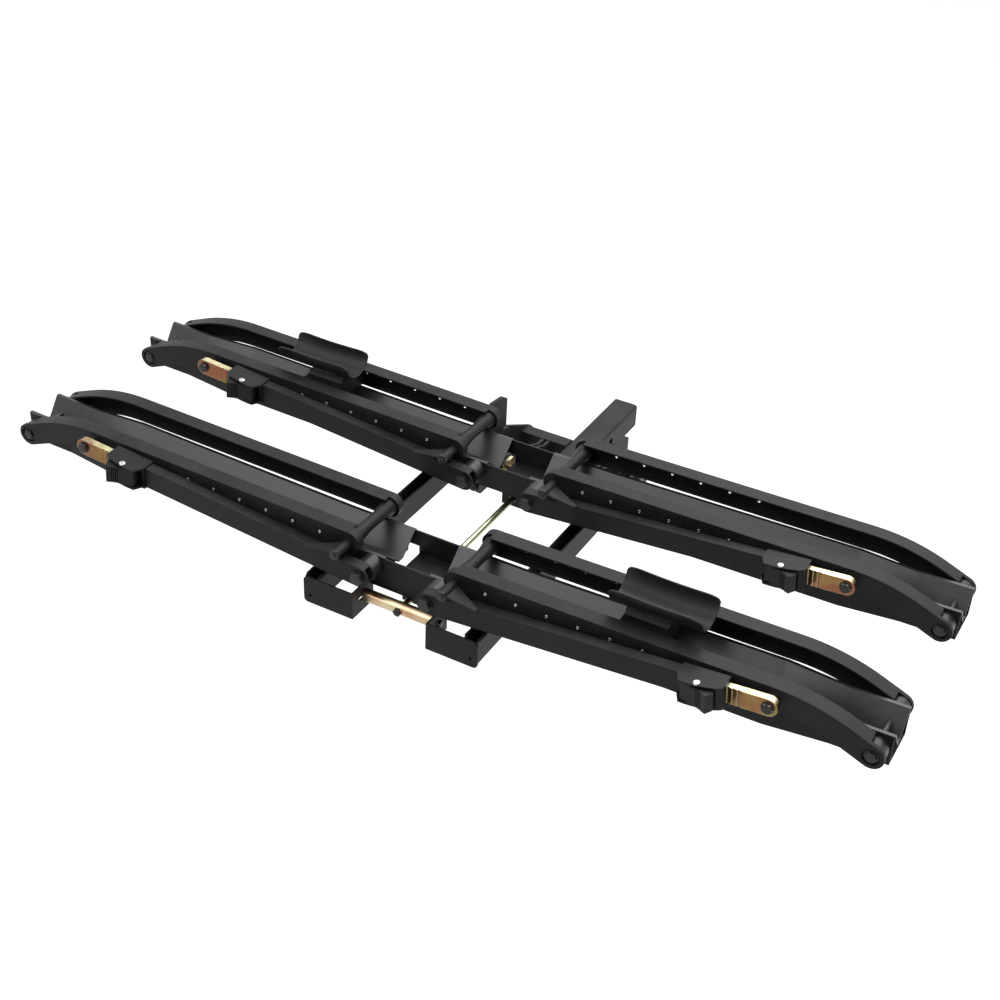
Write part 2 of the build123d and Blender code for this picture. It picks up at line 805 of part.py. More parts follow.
with BuildPart() as bar_bolt_piece:
    with BuildSketch(along_strut(-rail_outer - face_gap)):
        with Locations((strut_reach, 0)):
            Circle(bar_spacer_radius)
    extrude(amount=-bar_back - rail_outer - face_gap)
    with BuildSketch(along_strut(bar_back)):
        with Locations((strut_reach, 0)):
            Circle(bar_bolt / 2)
    extrude(amount=bar_thickness)
    with BuildSketch(along_strut(bar_front)):
        with Locations((strut_reach, 0)):
            RegularPolygon(bar_bolt * hex_factor, 6, major_radius=False)
    extrude(amount=nut_thickness)
write_halves(Compound(children=[ratchet_bar.part, bar_bolt_piece.part]), "ratchet_bar")

# Ratchet housing on the strut's outer end: sleeve, end wall, two plates and the trigger's pin
sleeve_front = strut_front - housing_wall
lower_plate = trigger_bottom - face_gap - housing_wall
housing_back = strut_back + housing_back_wall
with BuildPart() as housing:
    with BuildSketch(along_strut(housing_back)):
        with Locations((housing_start, 0)):
            Rectangle(
                housing_length,
                strut_height + 2 * housing_wall,
                align=(Align.MIN, Align.CENTER),
            )
    extrude(amount=housing_back - sleeve_front)
    for plate_level in (strut_height / 2, lower_plate):
        with BuildSketch(across_strut(plate_level)):
            with BuildLine():
                outer_edge = ThreePointArc(
                    (housing_start + plate_shoulder, plate_bulge - plate_front),
                    ((housing_start + housing_end) / 2 - plate_shoulder, -plate_front),
                    (housing_end - plate_shoulder, -plate_near_end),
                )
                Polyline(
                    outer_edge @ 1,
                    (housing_end, -plate_at_end),
                    (housing_end, housing_back),
                    (housing_start, housing_back),
                    (housing_start, 2 * plate_shoulder - plate_front),
                    outer_edge @ 0,
                )
            make_face()
        extrude(amount=housing_wall)
    with BuildSketch(across_strut(lower_plate)):
        with BuildLine():
            Polyline(
                (housing_end - plate_shoulder, sleeve_front),
                (housing_end - plate_shoulder, -plate_near_end),
                (housing_end, -plate_at_end),
                (housing_end, sleeve_front),
                close=True,
            )
        make_face()
    extrude(amount=strut_height / 2 - lower_plate)
    with BuildSketch(along_strut(strut_back)):
        Rectangle(strut_tube_length, strut_height, align=(Align.MIN, Align.CENTER))
    extrude(amount=strut_width, mode=Mode.SUBTRACT)
    with BuildSketch(along_strut(bar_back + face_gap)):
        with Locations((strut_tube_length, 0)):
            Rectangle(2 * housing_wall, bar_height + 2 * face_gap)
    extrude(amount=bar_thickness + 2 * face_gap, mode=Mode.SUBTRACT)
    with BuildSketch(along_strut(strut_front)):
        with Locations((pawl_u, 0)):
            Rectangle(pawl_window, pawl_width + 2 * pawl_clearance)
    extrude(amount=2 * housing_wall, mode=Mode.SUBTRACT)
    with BuildSketch(across_strut(-strut_height)):
        with Locations((trigger_axis_u, trigger_axis_y)):
            Circle(trigger_pin / 2)
    extrude(amount=2 * strut_height, mode=Mode.SUBTRACT)
with BuildPart() as trigger_screw:
    with BuildSketch(across_strut(lower_plate)):
        with Locations((trigger_axis_u, trigger_axis_y)):
            Circle(trigger_pin / 2)
    extrude(amount=strut_height / 2 + housing_wall - lower_plate)
    with BuildSketch(across_strut(strut_height / 2 + housing_wall)):
        with Locations((trigger_axis_u, trigger_axis_y)):
            Circle(screw_head_radius)
    extrude(amount=screw_head)
write_halves(Compound(children=[housing.part, trigger_screw.part]), "ratchet_housing")

# Trigger: a ribbed lever between the housing's plates, with the pawl that reaches to the teeth
with BuildPart() as trigger:
    with BuildSketch(across_strut(trigger_bottom)):
        with BuildLine():
            Polyline(
                (trigger_axis_u - trigger_inner, trigger_axis_y + trigger_back),
                (trigger_axis_u - trigger_inner, trigger_axis_y - trigger_side),
                (trigger_axis_u, trigger_axis_y - trigger_front),
                (trigger_axis_u + trigger_outer - trigger_back, trigger_axis_y - trigger_nose),
                (trigger_axis_u + trigger_outer, trigger_axis_y - trigger_notch),
                (trigger_axis_u + trigger_outer, trigger_axis_y),
                (trigger_axis_u + trigger_outer / 2, trigger_axis_y + trigger_back),
                close=True,
            )
        make_face()
    extrude(amount=trigger_top - trigger_bottom)
    with BuildSketch(across_strut(-pawl_width / 2)):
        with Locations((pawl_u, trigger_axis_y)):
            Rectangle(
                pawl_thickness,
                bar_front - face_gap - trigger_axis_y,
                align=(Align.CENTER, Align.MIN),
            )
    extrude(amount=pawl_width)
    with BuildSketch(across_strut(trigger_bottom)):
        with Locations((trigger_axis_u, trigger_axis_y)):
            Circle(trigger_pin / 2 + running)
        for index in range(rib_count):
            rib_u = (index + 1) * rib_pitch
            rib_y = trigger_front + (trigger_nose - trigger_front) * rib_u / (trigger_outer - trigger_back)
            with Locations((trigger_axis_u + rib_u, trigger_axis_y - rib_y)):
                Rectangle(rib_pitch / 2, 2 * rib_depth)
    extrude(amount=trigger_top - trigger_bottom, mode=Mode.SUBTRACT)
write_halves(trigger.part, "trigger")

# Finger lever: a knuckle on the roller's axle and a tapered tongue over the strut
drop = math.radians(tongue_drop_angle)
tongue_plane = Plane(
    origin=(roller_x, 0, roller_z),
    x_dir=(math.cos(drop), 0, -math.sin(drop)),
    z_dir=(math.sin(drop), 0, math.cos(drop)),
)
with BuildPart() as finger_lever:
    with BuildSketch(facing_front(knuckle_back)):
        with Locations((roller_x, roller_z)):
            Circle(knuckle_radius)
    extrude(amount=knuckle_back - knuckle_front)
    with BuildSketch(tongue_plane):
        with BuildLine():
            Polyline(
                (0, knuckle_front), (0, knuckle_back), (knuckle_radius, knuckle_back),
                (tongue_reach, knuckle_front + tongue_tip_width), (tongue_reach, knuckle_front),
                close=True,
            )
        make_face()
    extrude(amount=tongue_thickness / 2, both=True)
    with BuildSketch(facing_front(knuckle_back)):
        with Locations((roller_x, roller_z)):
            Circle(roller_axle / 2 + running)
    extrude(amount=knuckle_back - knuckle_front, mode=Mode.SUBTRACT)
write_halves(finger_lever.part, "finger_lever")

# Saddle: a cradle whose ends rise a little, on a bridge between the rails
cradle_radius = ((saddle_width / 2) ** 2 + saddle_depth**2) / (2 * saddle_depth)
cradle_bottom = saddle_edge_z - saddle_depth
half_turn = math.degrees(math.asin(saddle_length / 2 / saddle_bend))
start_angle = math.radians(half_turn)
bend_top = cradle_bottom + saddle_bend
section_plane = Plane(
    origin=(
        saddle_x - saddle_bend * math.sin(start_angle),
        0,
        bend_top - saddle_bend * math.cos(start_angle),
    ),
    x_dir=(0, 1, 0),
    z_dir=(math.cos(start_angle), 0, -math.sin(start_angle)),
)
with BuildPart() as cradle:
    with BuildSketch(section_plane):
        with BuildLine():
            rim = saddle_width / 2
            inside = ThreePointArc((-rim, saddle_depth), (0, 0), (rim, saddle_depth))
            Line(inside @ 1, (rim + saddle_sheet, saddle_depth))
            outside = ThreePointArc(
                (rim + saddle_sheet, saddle_depth), (0, -saddle_sheet), (-rim - saddle_sheet, saddle_depth)
            )
            Line(outside @ 1, inside @ 0)
        make_face()
    revolve(axis=Axis((saddle_x, 0, bend_top), (0, -1, 0)), revolution_arc=2 * half_turn)
bridge_bottom = wall_top_at(bridge_outer_x) + liner_sheet + bridge_gap
with BuildPart() as bridge:
    with BuildSketch(Plane.YZ.offset(bridge_inner_x)):
        with BuildLine():
            flange_inner = rail_outer - bottom_flange - face_gap
            bridge_top = rail_height_at(bridge_inner_x) + rail_half - rail_sheet - face_gap
            low = rail_height_at(bridge_outer_x) - rail_half + rail_sheet + face_gap
            Polyline(
                (0, bridge_bottom), (flange_inner, bridge_bottom), (flange_inner, low), (web_inner, low),
                (web_inner, bridge_top), (pedestal_half_width, bridge_top),
                (pedestal_half_width / 2, cradle_bottom), (0, cradle_bottom),
            )
            mirror(about=Plane.YZ)
        make_face()
    extrude(amount=bridge_outer_x - bridge_inner_x)
    with BuildSketch(Plane.YZ.offset(bridge_inner_x + bridge_wall)):
        with Locations((0, bridge_bottom)):
            Rectangle(
                2 * (flange_inner - bridge_wall),
                bridge_top - bridge_wall - bridge_bottom,
                align=(Align.CENTER, Align.MIN),
            )
    extrude(amount=bridge_outer_x - bridge_inner_x - 2 * bridge_wall, mode=Mode.SUBTRACT)
    add(cradle.part, mode=Mode.SUBTRACT)
saddle = Compound(children=[cradle.part, bridge.part])
write(in_tray(saddle, "front"), "saddle_front_right")
write(mirror(in_tray(saddle, "rear"), about=Plane.YZ), "saddle_rear_left")

# Rod guides: plates under the two channels
with BuildPart() as rod_guides:
    for guide_y in (front_guide_y, rear_guide_y):
        with BuildSketch(facing_front(guide_y + guide_sheet)):
            with Locations((0, beam_top)):
                Rectangle(guide_width, beam_top - latch_z + guide_below_rod, align=(Align.CENTER, Align.MAX))
            with Locations((0, latch_z)):
                Circle(rod_diameter / 2 + 2 * face_gap, mode=Mode.SUBTRACT)
        extrude(amount=guide_sheet)
write(rod_guides.part, "rod_guides")

# Pull bar with its end bolts and centre bolt
with BuildPart() as handle_bar:
    with BuildSketch(Plane.YZ.offset(-handle_half_length)):
        with Locations((handle_y, latch_z)):
            Circle(handle_diameter / 2)
    extrude(amount=2 * handle_half_length)
    with BuildSketch(facing_front(handle_y + handle_diameter)):
        with Locations((0, latch_z)):
            Circle(rod_diameter / 2)
    extrude(amount=handle_diameter, mode=Mode.SUBTRACT)
    with BuildSketch(facing_front(handle_y)):
        with Locations((0, latch_z)):
            RegularPolygon(rod_nut_bolt * hex_factor, 6, major_radius=False)
    extrude(amount=handle_diameter / 2 + handle_bolt_head)
    bolt_reach = bracket_inner_x + bracket_sheet + face_gap
    for side in (-1, 1):
        with BuildSketch(Plane.YZ.offset(side * handle_half_length)):
            with Locations((handle_y, latch_z)):
                Circle(handle_bolt / 2)
        extrude(amount=side * (bolt_reach - handle_half_length))
        with BuildSketch(Plane.YZ.offset(side * bolt_reach)):
            with Locations((handle_y, latch_z)):
                RegularPolygon(handle_bolt * hex_factor, 6, major_radius=False)
        extrude(amount=side * handle_bolt_head)
write(handle_bar.part, "handle_bar")

# Pull rod with the collar that the spring presses on
guide_back_y = front_guide_y + guide_sheet
collar_y = guide_back_y + spring_length
with BuildPart() as pull_rod:
    with BuildSketch(facing_front(link_front_y)):
        with Locations((0, latch_z)):
            Circle(rod_diameter / 2)
    extrude(amount=link_front_y - handle_y)
    with BuildSketch(facing_front(collar_y + collar_thickness)):
        with Locations((0, latch_z)):
            Circle(collar_radius)
    extrude(amount=collar_thickness)
write(pull_rod.part, "pull_rod")

# Hooks: two plates joined by a link at the rod's end, notched for the striker pin
hook_notch = striker_diameter / 2 + face_gap
hook_top = striker_z + hook_height
hook_rear_y = striker_y + hook_reach
link_bottom = latch_z - link_height / 2
with BuildPart() as latch_hooks:
    with BuildSketch(Plane.YZ.offset(hook_inner_x)):
        with BuildLine():
            notch = CenterArc((striker_y, striker_z), hook_notch, 90, 90)
            Polyline(
                notch @ 1,
                (striker_y - hook_notch, striker_z - hook_notch),
                (striker_y - hook_notch - hook_bevel, link_bottom),
                (link_front_y, link_bottom),
                (link_front_y, striker_z),
                (link_front_y + hook_bevel, hook_top),
                (hook_rear_y - hook_bevel / 2, hook_top),
                (hook_rear_y, hook_top - hook_bevel / 2),
                (hook_rear_y, striker_z + hook_notch),
                notch @ 0,
            )
        make_face()
    extrude(amount=hook_thickness)
    mirror(about=Plane.YZ)
    with BuildSketch(facing_front(link_front_y + link_thickness)):
        with Locations((0, latch_z)):
            Rectangle(2 * hook_inner_x, link_height)
    extrude(amount=link_thickness)
write(latch_hooks.part, "latch_hooks")


def coil_points(step):
    """Point and direction on the spring's centre line after a number of quarter turns."""
    angle = step * math.pi / 2
    rise = (spring_length - spring_wire - 2 * face_gap) / spring_turns
    point = Vector(
        spring_radius * math.cos(angle),
        guide_back_y + face_gap + spring_wire / 2 + rise * step / 4,
        latch_z + spring_radius * math.sin(angle),
    )
    direction = Vector(
        -spring_radius * math.sin(angle), rise / (2 * math.pi), spring_radius * math.cos(angle)
    )
    return point, direction.normalized()


# Latch spring: one wire wound about the rod, each quarter turn a pair of arcs
with BuildLine() as coil:
    for step in range(4 * spring_turns):
        start, start_way = coil_points(step)
        end, end_way = coil_points(step + 1)
        chord = end - start
        spread = 2 * (1 - start_way.dot(end_way))
        along = chord.dot(start_way + end_way)
        reach = (math.sqrt(along**2 + spread * chord.dot(chord)) - along) / spread
        joint = (start + start_way * reach + end - end_way * reach) * 0.5
        joint_way = (end - end_way * reach - start - start_way * reach).normalized()
        TangentArc(start, joint, tangent=start_way)
        TangentArc(joint, end, tangent=joint_way)
with BuildPart() as latch_spring:
    with BuildSketch(Plane(origin=coil_points(0)[0], z_dir=coil_points(0)[1])):
        Circle(spring_wire / 2)
    sweep(path=coil.wire())
write(latch_spring.part, "latch_spring")

points_per_turn = 24
centres = [coil_points(4 * index / points_per_turn)[0] for index in range(points_per_turn * spring_turns)]
least_gap = min(
    (first - second).length - spring_wire
    for index, first in enumerate(centres)
    for second in centres[index + points_per_turn // 2:]
)
print(f"least gap between the spring's turns: {least_gap:.2f} mm")
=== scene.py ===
"""Looks of the two-tray hitch bike rack: finishes, hardware, saddles, spring, welds and stage."""

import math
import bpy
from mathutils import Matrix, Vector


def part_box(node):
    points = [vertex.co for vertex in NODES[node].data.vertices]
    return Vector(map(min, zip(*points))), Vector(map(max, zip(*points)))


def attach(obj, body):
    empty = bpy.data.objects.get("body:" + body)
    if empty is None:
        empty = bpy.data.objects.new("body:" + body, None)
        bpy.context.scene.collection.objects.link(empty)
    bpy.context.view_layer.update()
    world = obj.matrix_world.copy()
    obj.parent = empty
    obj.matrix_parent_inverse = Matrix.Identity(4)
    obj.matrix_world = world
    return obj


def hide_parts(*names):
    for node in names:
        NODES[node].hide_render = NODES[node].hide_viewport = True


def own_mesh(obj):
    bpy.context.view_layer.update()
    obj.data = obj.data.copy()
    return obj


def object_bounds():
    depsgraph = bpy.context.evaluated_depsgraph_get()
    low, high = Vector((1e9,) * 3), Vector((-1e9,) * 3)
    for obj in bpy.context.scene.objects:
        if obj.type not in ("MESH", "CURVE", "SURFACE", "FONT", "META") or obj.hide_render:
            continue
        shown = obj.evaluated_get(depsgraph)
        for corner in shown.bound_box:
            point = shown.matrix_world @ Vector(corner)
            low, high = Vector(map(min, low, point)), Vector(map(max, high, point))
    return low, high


bl_info = {
    "name": "Hitch bike rack looks",
    "version": (1, 0, 0),
    "blender": (4, 5, 0),
    "location": "3D View > Sidebar > Bike Rack",
    "description": "Dresses the packed bike rack with finishes, hardware, saddles and a stage",
    "category": "Object",
}

import bmesh
import bpy
from bpy.props import FloatProperty, FloatVectorProperty, IntProperty, PointerProperty
from mathutils import Matrix, Vector

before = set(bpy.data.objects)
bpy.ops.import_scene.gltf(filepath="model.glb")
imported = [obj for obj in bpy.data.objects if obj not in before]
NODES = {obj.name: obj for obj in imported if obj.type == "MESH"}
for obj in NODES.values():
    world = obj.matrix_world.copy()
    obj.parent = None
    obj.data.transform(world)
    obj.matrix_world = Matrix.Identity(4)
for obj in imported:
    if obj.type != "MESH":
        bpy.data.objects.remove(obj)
cad_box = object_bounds()

MM = 0.001

# Places in the CAD frame, in millimetres
TRAY_Y = {"front": -660.0, "rear": -330.0}
SIDE_SIGN = {"left": -1.0, "right": 1.0}
HALVES = [(tray, side) for tray in TRAY_Y for side in SIDE_SIGN]
PIVOT_Z = 117.0
HOOP_PIVOT = (778.4, 10.0)
ROLLER = (99.0, 38.5)
BAR_BOLT = (627.0, 47.9)
STRUT_PIVOT_X = 63.4
STRUT_SLOPE = math.atan2(BAR_BOLT[1], BAR_BOLT[0] - STRUT_PIVOT_X)
RAIL_FACE = 68.0
RAIL_HOLES = [154.0 + 53.4 * index for index in range(6)]
TRIGGER_AXIS = (464.6, -110.0)
HOUSING_TOP = 24.0
LATCH_Z = 62.0
HANDLE_Y = -725.0
FOLD_PIVOT = (-175.0, 63.5)
SADDLE_HALVES = [("front", "right"), ("rear", "left")]
SADDLE_X = 420.0
SADDLE_RIM_Z = 106.5
SADDLE_BEND = 900.0
SADDLE_BLOCK_X = (366.0, 441.0)
SADDLE_BLOCK_TOP = 69.0
SADDLE_BLOCK_RISE = 3.0
HITCH_HALF = 25.4

# How far from a tray's middle, or from the part's, the plain hexagons' inner faces lie
PIVOT_BOLT_FACE = 64.3
STRUT_BOLT_FACE = 96.3
LEVER_NUT_FACE = 105.3
BAR_BOLT_FACE = 90.5
FOLD_BOLT_FACES = (("outer", 162.3, 1.0), ("inner", 123.0, -1.0))
PULL_BAR_END = 72.3
PULL_BAR_RADIUS = 11.0

# Stage, in metres and degrees: the camera is worked out from the photo
CAMERA_PLACE = (1.08478, -2.45493, 1.67924)
CAMERA_ANGLES = (27.8586, 34.4459, 2.7519)
LIGHT_CENTRE = (0.0, -0.4, 0.1)
FLOOR_HALF = 30.0
FLOOR_GLOW = 0.94

DUST_COLOUR = (0.21, 0.205, 0.195)


def tray_point(tray, side, x, y, z):
    """A point given about a tray's centre and pivot height, for its right half, in metres."""
    return Vector((SIDE_SIGN[side] * x, TRAY_Y[tray] + y, PIVOT_Z + z)) * MM


def rail_z(x):
    """Height of a rail's centre line above the strut pivots on its straight stretch."""
    slope = (BAR_BOLT[1] - ROLLER[1]) / (BAR_BOLT[0] - ROLLER[0])
    return ROLLER[1] + slope * (x - ROLLER[0])


def strut_point(tray, side, u, y, height):
    """A point along a strut, off its axis by a height, in metres."""
    cos, sin = math.cos(STRUT_SLOPE), math.sin(STRUT_SLOPE)
    return tray_point(
        tray, side, STRUT_PIVOT_X + u * cos - height * sin, y, u * sin + height * cos
    )


def colour_setting(name, description, default):
    """A colour property of a settings group."""
    return FloatVectorProperty(
        name=name, description=description, default=default,
        subtype="COLOR", size=3, min=0.0, max=1.0,
    )


class RackFinishSettings(bpy.types.PropertyGroup):
    powder_colour: colour_setting(
        "Powder coat", "Colour of the black powder coat", (0.022, 0.022, 0.0233)
    )
    saddle_colour: colour_setting(
        "Saddle paint", "Colour of the saddles' smooth dark paint", (0.024, 0.024, 0.026)
    )
    # Edge colour: wear of the coat, and a painted edge highlight that stands in for lit edges
    scuffed_highlit_edge_colour: colour_setting(
        "Worn, highlighted edge", "Colour of the coat on its edges: worn thin, and painted lighter as an edge highlight", (0.105, 0.103, 0.1)
    )
    plastic_colour: colour_setting(
        "Moulded plastic", "Colour of the ratchet housings and triggers", (0.011, 0.011, 0.0115)
    )
    straw_colour: colour_setting(
        "Straw plating", "Main colour of the yellow zinc plating", (0.26, 0.205, 0.07)
    )
    pink_colour: colour_setting(
        "Pink plating", "Colour of the plating's pink patches", (0.225, 0.092, 0.048)
    )
    olive_colour: colour_setting(
        "Olive plating", "Colour of the plating's olive patches", (0.16, 0.16, 0.045)
    )
    pale_colour: colour_setting(
        "Pale plating", "Colour of the pull rod's pale zinc", (0.42, 0.44, 0.27)
    )
    bright_colour: colour_setting(
        "Bright zinc", "Colour of rivets and screws", (0.62, 0.63, 0.64)
    )
    edge_radius: FloatProperty(
        name="Edge radius", description="Radius to which sharp sheet edges look rounded",
        default=0.0011, min=0.0, max=0.01, unit="LENGTH",
    )
    powder_grain: FloatProperty(
        name="Powder grain", description="Size of the powder coat's fine dimples",
        default=0.0012, min=0.0001, max=0.02, unit="LENGTH",
    )


class RackHardwareSettings(bpy.types.PropertyGroup):
    rivet_radius: FloatProperty(
        name="Rivet radius", description="Radius of the rivets in the hoops' front rails",
        default=0.0029, min=0.0005, max=0.01, unit="LENGTH",
    )
    eyelet_wall: FloatProperty(
        name="Eyelet wall", description="Wall of the eyelets in the hoops' back rails",
        default=0.0006, min=0.0001, max=0.003, unit="LENGTH",
    )
    head_cover: FloatProperty(
        name="Head cover", description="How far a dressed bolt head stands over the plain one",
        default=0.0003, min=0.0, max=0.003, unit="LENGTH",
    )
    weld_radius: FloatProperty(
        name="Weld radius", description="Radius of the weld beads",
        default=0.0028, min=0.0005, max=0.01, unit="LENGTH",
    )
    weld_pitch: FloatProperty(
        name="Weld pitch", description="Distance from ripple to ripple along a weld bead",
        default=0.0032, min=0.0005, max=0.02, unit="LENGTH",
    )
    hexagon_segments: IntProperty(
        name="Hexagon steps", description="Points around a dressed bolt head",
        default=48, min=12, max=192,
    )


class RackSaddleSettings(bpy.types.PropertyGroup):
    length: FloatProperty(
        name="Length", description="Length of a saddle's cradle along its tray",
        default=0.154, min=0.05, max=0.4, unit="LENGTH",
    )
    width: FloatProperty(
        name="Width", description="Width of a saddle's cradle over its rims",
        default=0.064, min=0.03, max=0.2, unit="LENGTH",
    )
    depth: FloatProperty(
        name="Depth", description="Depth of a saddle's cradle",
        default=0.033, min=0.01, max=0.1, unit="LENGTH",
    )
    sheet: FloatProperty(
        name="Sheet", description="Thickness of a saddle's sheet",
        default=0.003, min=0.001, max=0.01, unit="LENGTH",
    )
    flare: FloatProperty(
        name="Flare", description="How far the cradle's ends open outwards",
        default=0.0015, min=0.0, max=0.03, unit="LENGTH",
    )


class RackStageSettings(bpy.types.PropertyGroup):
    focal_length: FloatProperty(
        name="Lens", description="Focal length on a 36 mm wide sensor",
        default=57.94, min=10.0, max=300.0,
    )
    floor_colour: colour_setting(
        "Floor", "Colour of the plain floor and backdrop", (0.3, 0.3, 0.3)
    )
    floor_drop: FloatProperty(
        name="Floor drop", description="Distance from the rack's lowest point down to the floor",
        default=0.32, min=0.0, max=2.0, unit="LENGTH",
    )
    world_light: FloatProperty(
        name="World light", description="Strength of the even light from all around",
        default=0.13, min=0.0, max=5.0,
    )
    top_light: FloatProperty(
        name="Top light", description="Power of the wide soft box above the rack",
        default=80.0, min=0.0, max=2000.0, unit="POWER",
    )
    side_light: FloatProperty(
        name="Side light", description="Power of the soft box on the camera's left",
        default=30.0, min=0.0, max=2000.0, unit="POWER",
    )


# Shader node groups that more than one finish uses


def new_group(name, inputs, outputs):
    """An empty shader node group with its sockets; returns the tree and its two end nodes."""
    tree = bpy.data.node_groups.new(name, "ShaderNodeTree")
    for socket, kind, value in inputs:
        item = tree.interface.new_socket(socket, in_out="INPUT", socket_type=kind)
        if value is not None:
            item.default_value = value
    for socket, kind in outputs:
        tree.interface.new_socket(socket, in_out="OUTPUT", socket_type=kind)
    return tree, tree.nodes.new("NodeGroupInput"), tree.nodes.new("NodeGroupOutput")


def arithmetic(tree, operation, first, second, clamp=False):
    """A Math node; each operand is a socket or a number."""
    node = tree.nodes.new("ShaderNodeMath")
    node.operation = operation
    node.use_clamp = clamp
    for socket, operand in zip(node.inputs, (first, second)):
        if isinstance(operand, (int, float)):
            socket.default_value = operand
        else:
            tree.links.new(operand, socket)
    return node.outputs[0]


def blend_colours(tree, share, first, second, blend_type="MIX"):
    """A Mix node for colours; share, first and second are sockets or values."""
    node = tree.nodes.new("ShaderNodeMix")
    node.data_type = "RGBA"
    node.blend_type = blend_type
    node.clamp_factor = True
    for index, operand in ((0, share), (6, first), (7, second)):
        if isinstance(operand, bpy.types.NodeSocket):
            tree.links.new(operand, node.inputs[index])
        elif index == 0:
            node.inputs[index].default_value = operand
        else:
            node.inputs[index].default_value = (*operand, 1.0)
    return node.outputs[2]


def noise(tree, vector, scale, detail=4.0, roughness=0.55):
    """A Noise Texture's value at a scale, which is a socket or a number."""
    node = tree.nodes.new("ShaderNodeTexNoise")
    node.inputs["Detail"].default_value = detail
    node.inputs["Roughness"].default_value = roughness
    tree.links.new(vector, node.inputs["Vector"])
    if isinstance(scale, (int, float)):
        node.inputs["Scale"].default_value = scale
    else:
        tree.links.new(scale, node.inputs["Scale"])
    return node.outputs["Fac"]


def ramp(tree, value, low, high):
    """Maps a value from low..high to 0..1, clamped."""
    node = tree.nodes.new("ShaderNodeMapRange")
    node.inputs["From Min"].default_value = low
    node.inputs["From Max"].default_value = high
    tree.links.new(value, node.inputs["Value"])
    return node.outputs["Result"]


def edge_group():
    """Rounded normals along sharp edges, and a broken-up mask of those edges for wear and a painted
    edge highlight.
    """
    tree, inside, outside = new_group(
        "rounded edges",
        [
            ("Vector", "NodeSocketVector", None),
            ("Radius", "NodeSocketFloat", 0.001),
            ("Breakup", "NodeSocketFloat", 0.5),
        ],
        [("Edge", "NodeSocketFloat"), ("Normal", "NodeSocketVector")],
    )
    bevel = tree.nodes.new("ShaderNodeBevel")
    bevel.samples = 4
    tree.links.new(inside.outputs["Radius"], bevel.inputs["Radius"])
    surface = tree.nodes.new("ShaderNodeNewGeometry")
    dot = tree.nodes.new("ShaderNodeVectorMath")
    dot.operation = "DOT_PRODUCT"
    tree.links.new(bevel.outputs["Normal"], dot.inputs[0])
    tree.links.new(surface.outputs["Normal"], dot.inputs[1])
    turned = ramp(tree, dot.outputs["Value"], 0.995, 0.86)
    scuff_and_highlight_mask = ramp(tree, noise(tree, inside.outputs["Vector"], 46.0, 5.0, 0.6), 0.36, 0.66)
    kept = arithmetic(tree, "MULTIPLY", inside.outputs["Breakup"], scuff_and_highlight_mask)
    plain = arithmetic(tree, "SUBTRACT", 1.0, inside.outputs["Breakup"])
    scuffed_and_highlit = arithmetic(tree, "MULTIPLY", turned, arithmetic(tree, "ADD", kept, plain), clamp=True)
    tree.links.new(scuffed_and_highlit, outside.inputs["Edge"])
    tree.links.new(bevel.outputs["Normal"], outside.inputs["Normal"])
    return tree


def grain_group():
    """Fine dimples of a sprayed or moulded coat, with slow mottling of its colour and gloss."""
    tree, inside, outside = new_group(
        "coat grain",
        [
            ("Vector", "NodeSocketVector", None),
            ("Grain", "NodeSocketFloat", 0.001),
            ("Base Roughness", "NodeSocketFloat", 0.5),
            ("Swing", "NodeSocketFloat", 0.08),
        ],
        [
            ("Mottle", "NodeSocketFloat"),
            ("Roughness", "NodeSocketFloat"),
            ("Height", "NodeSocketFloat"),
        ],
    )
    scale = arithmetic(tree, "DIVIDE", 1.0, inside.outputs["Grain"])
    fine = noise(tree, inside.outputs["Vector"], scale, 2.0, 0.5)
    slow = noise(tree, inside.outputs["Vector"], 9.0, 3.0, 0.55)
    smear = noise(tree, inside.outputs["Vector"], 60.0, 4.0, 0.6)
    slow_part = arithmetic(tree, "MULTIPLY", slow, 0.6)
    mottle = arithmetic(tree, "ADD", slow_part, arithmetic(tree, "MULTIPLY", smear, 0.4))
    centred = arithmetic(tree, "SUBTRACT", mottle, 0.5)
    swing = arithmetic(tree, "MULTIPLY", centred, inside.outputs["Swing"])
    change = arithmetic(tree, "MULTIPLY", swing, 3.0)
    rough = arithmetic(tree, "ADD", inside.outputs["Base Roughness"], change, clamp=True)
    tree.links.new(mottle, outside.inputs["Mottle"])
    tree.links.new(rough, outside.inputs["Roughness"])
    tree.links.new(fine, outside.inputs["Height"])
    return tree


def dust_and_highlight_group():
    """A patchy mask of faces that look up: thin dust on the dark coats, and a painted top highlight
    on the platings.
    """
    tree, inside, outside = new_group(
        "dust and top highlight",
        [("Vector", "NodeSocketVector", None), ("Amount", "NodeSocketFloat", 0.1)],
        [("Dust And Top Highlight", "NodeSocketFloat")],
    )
    surface = tree.nodes.new("ShaderNodeNewGeometry")
    split = tree.nodes.new("ShaderNodeSeparateXYZ")
    tree.links.new(surface.outputs["Normal"], split.inputs[0])
    upward = ramp(tree, split.outputs["Z"], 0.35, 1.0)
    patches = ramp(tree, noise(tree, inside.outputs["Vector"], 23.0, 6.0, 0.65), 0.3, 0.75)
    patchy = arithmetic(tree, "MULTIPLY", upward, patches)
    mask = arithmetic(tree, "MULTIPLY", patchy, inside.outputs["Amount"])
    tree.links.new(mask, outside.inputs["Dust And Top Highlight"])
    return tree


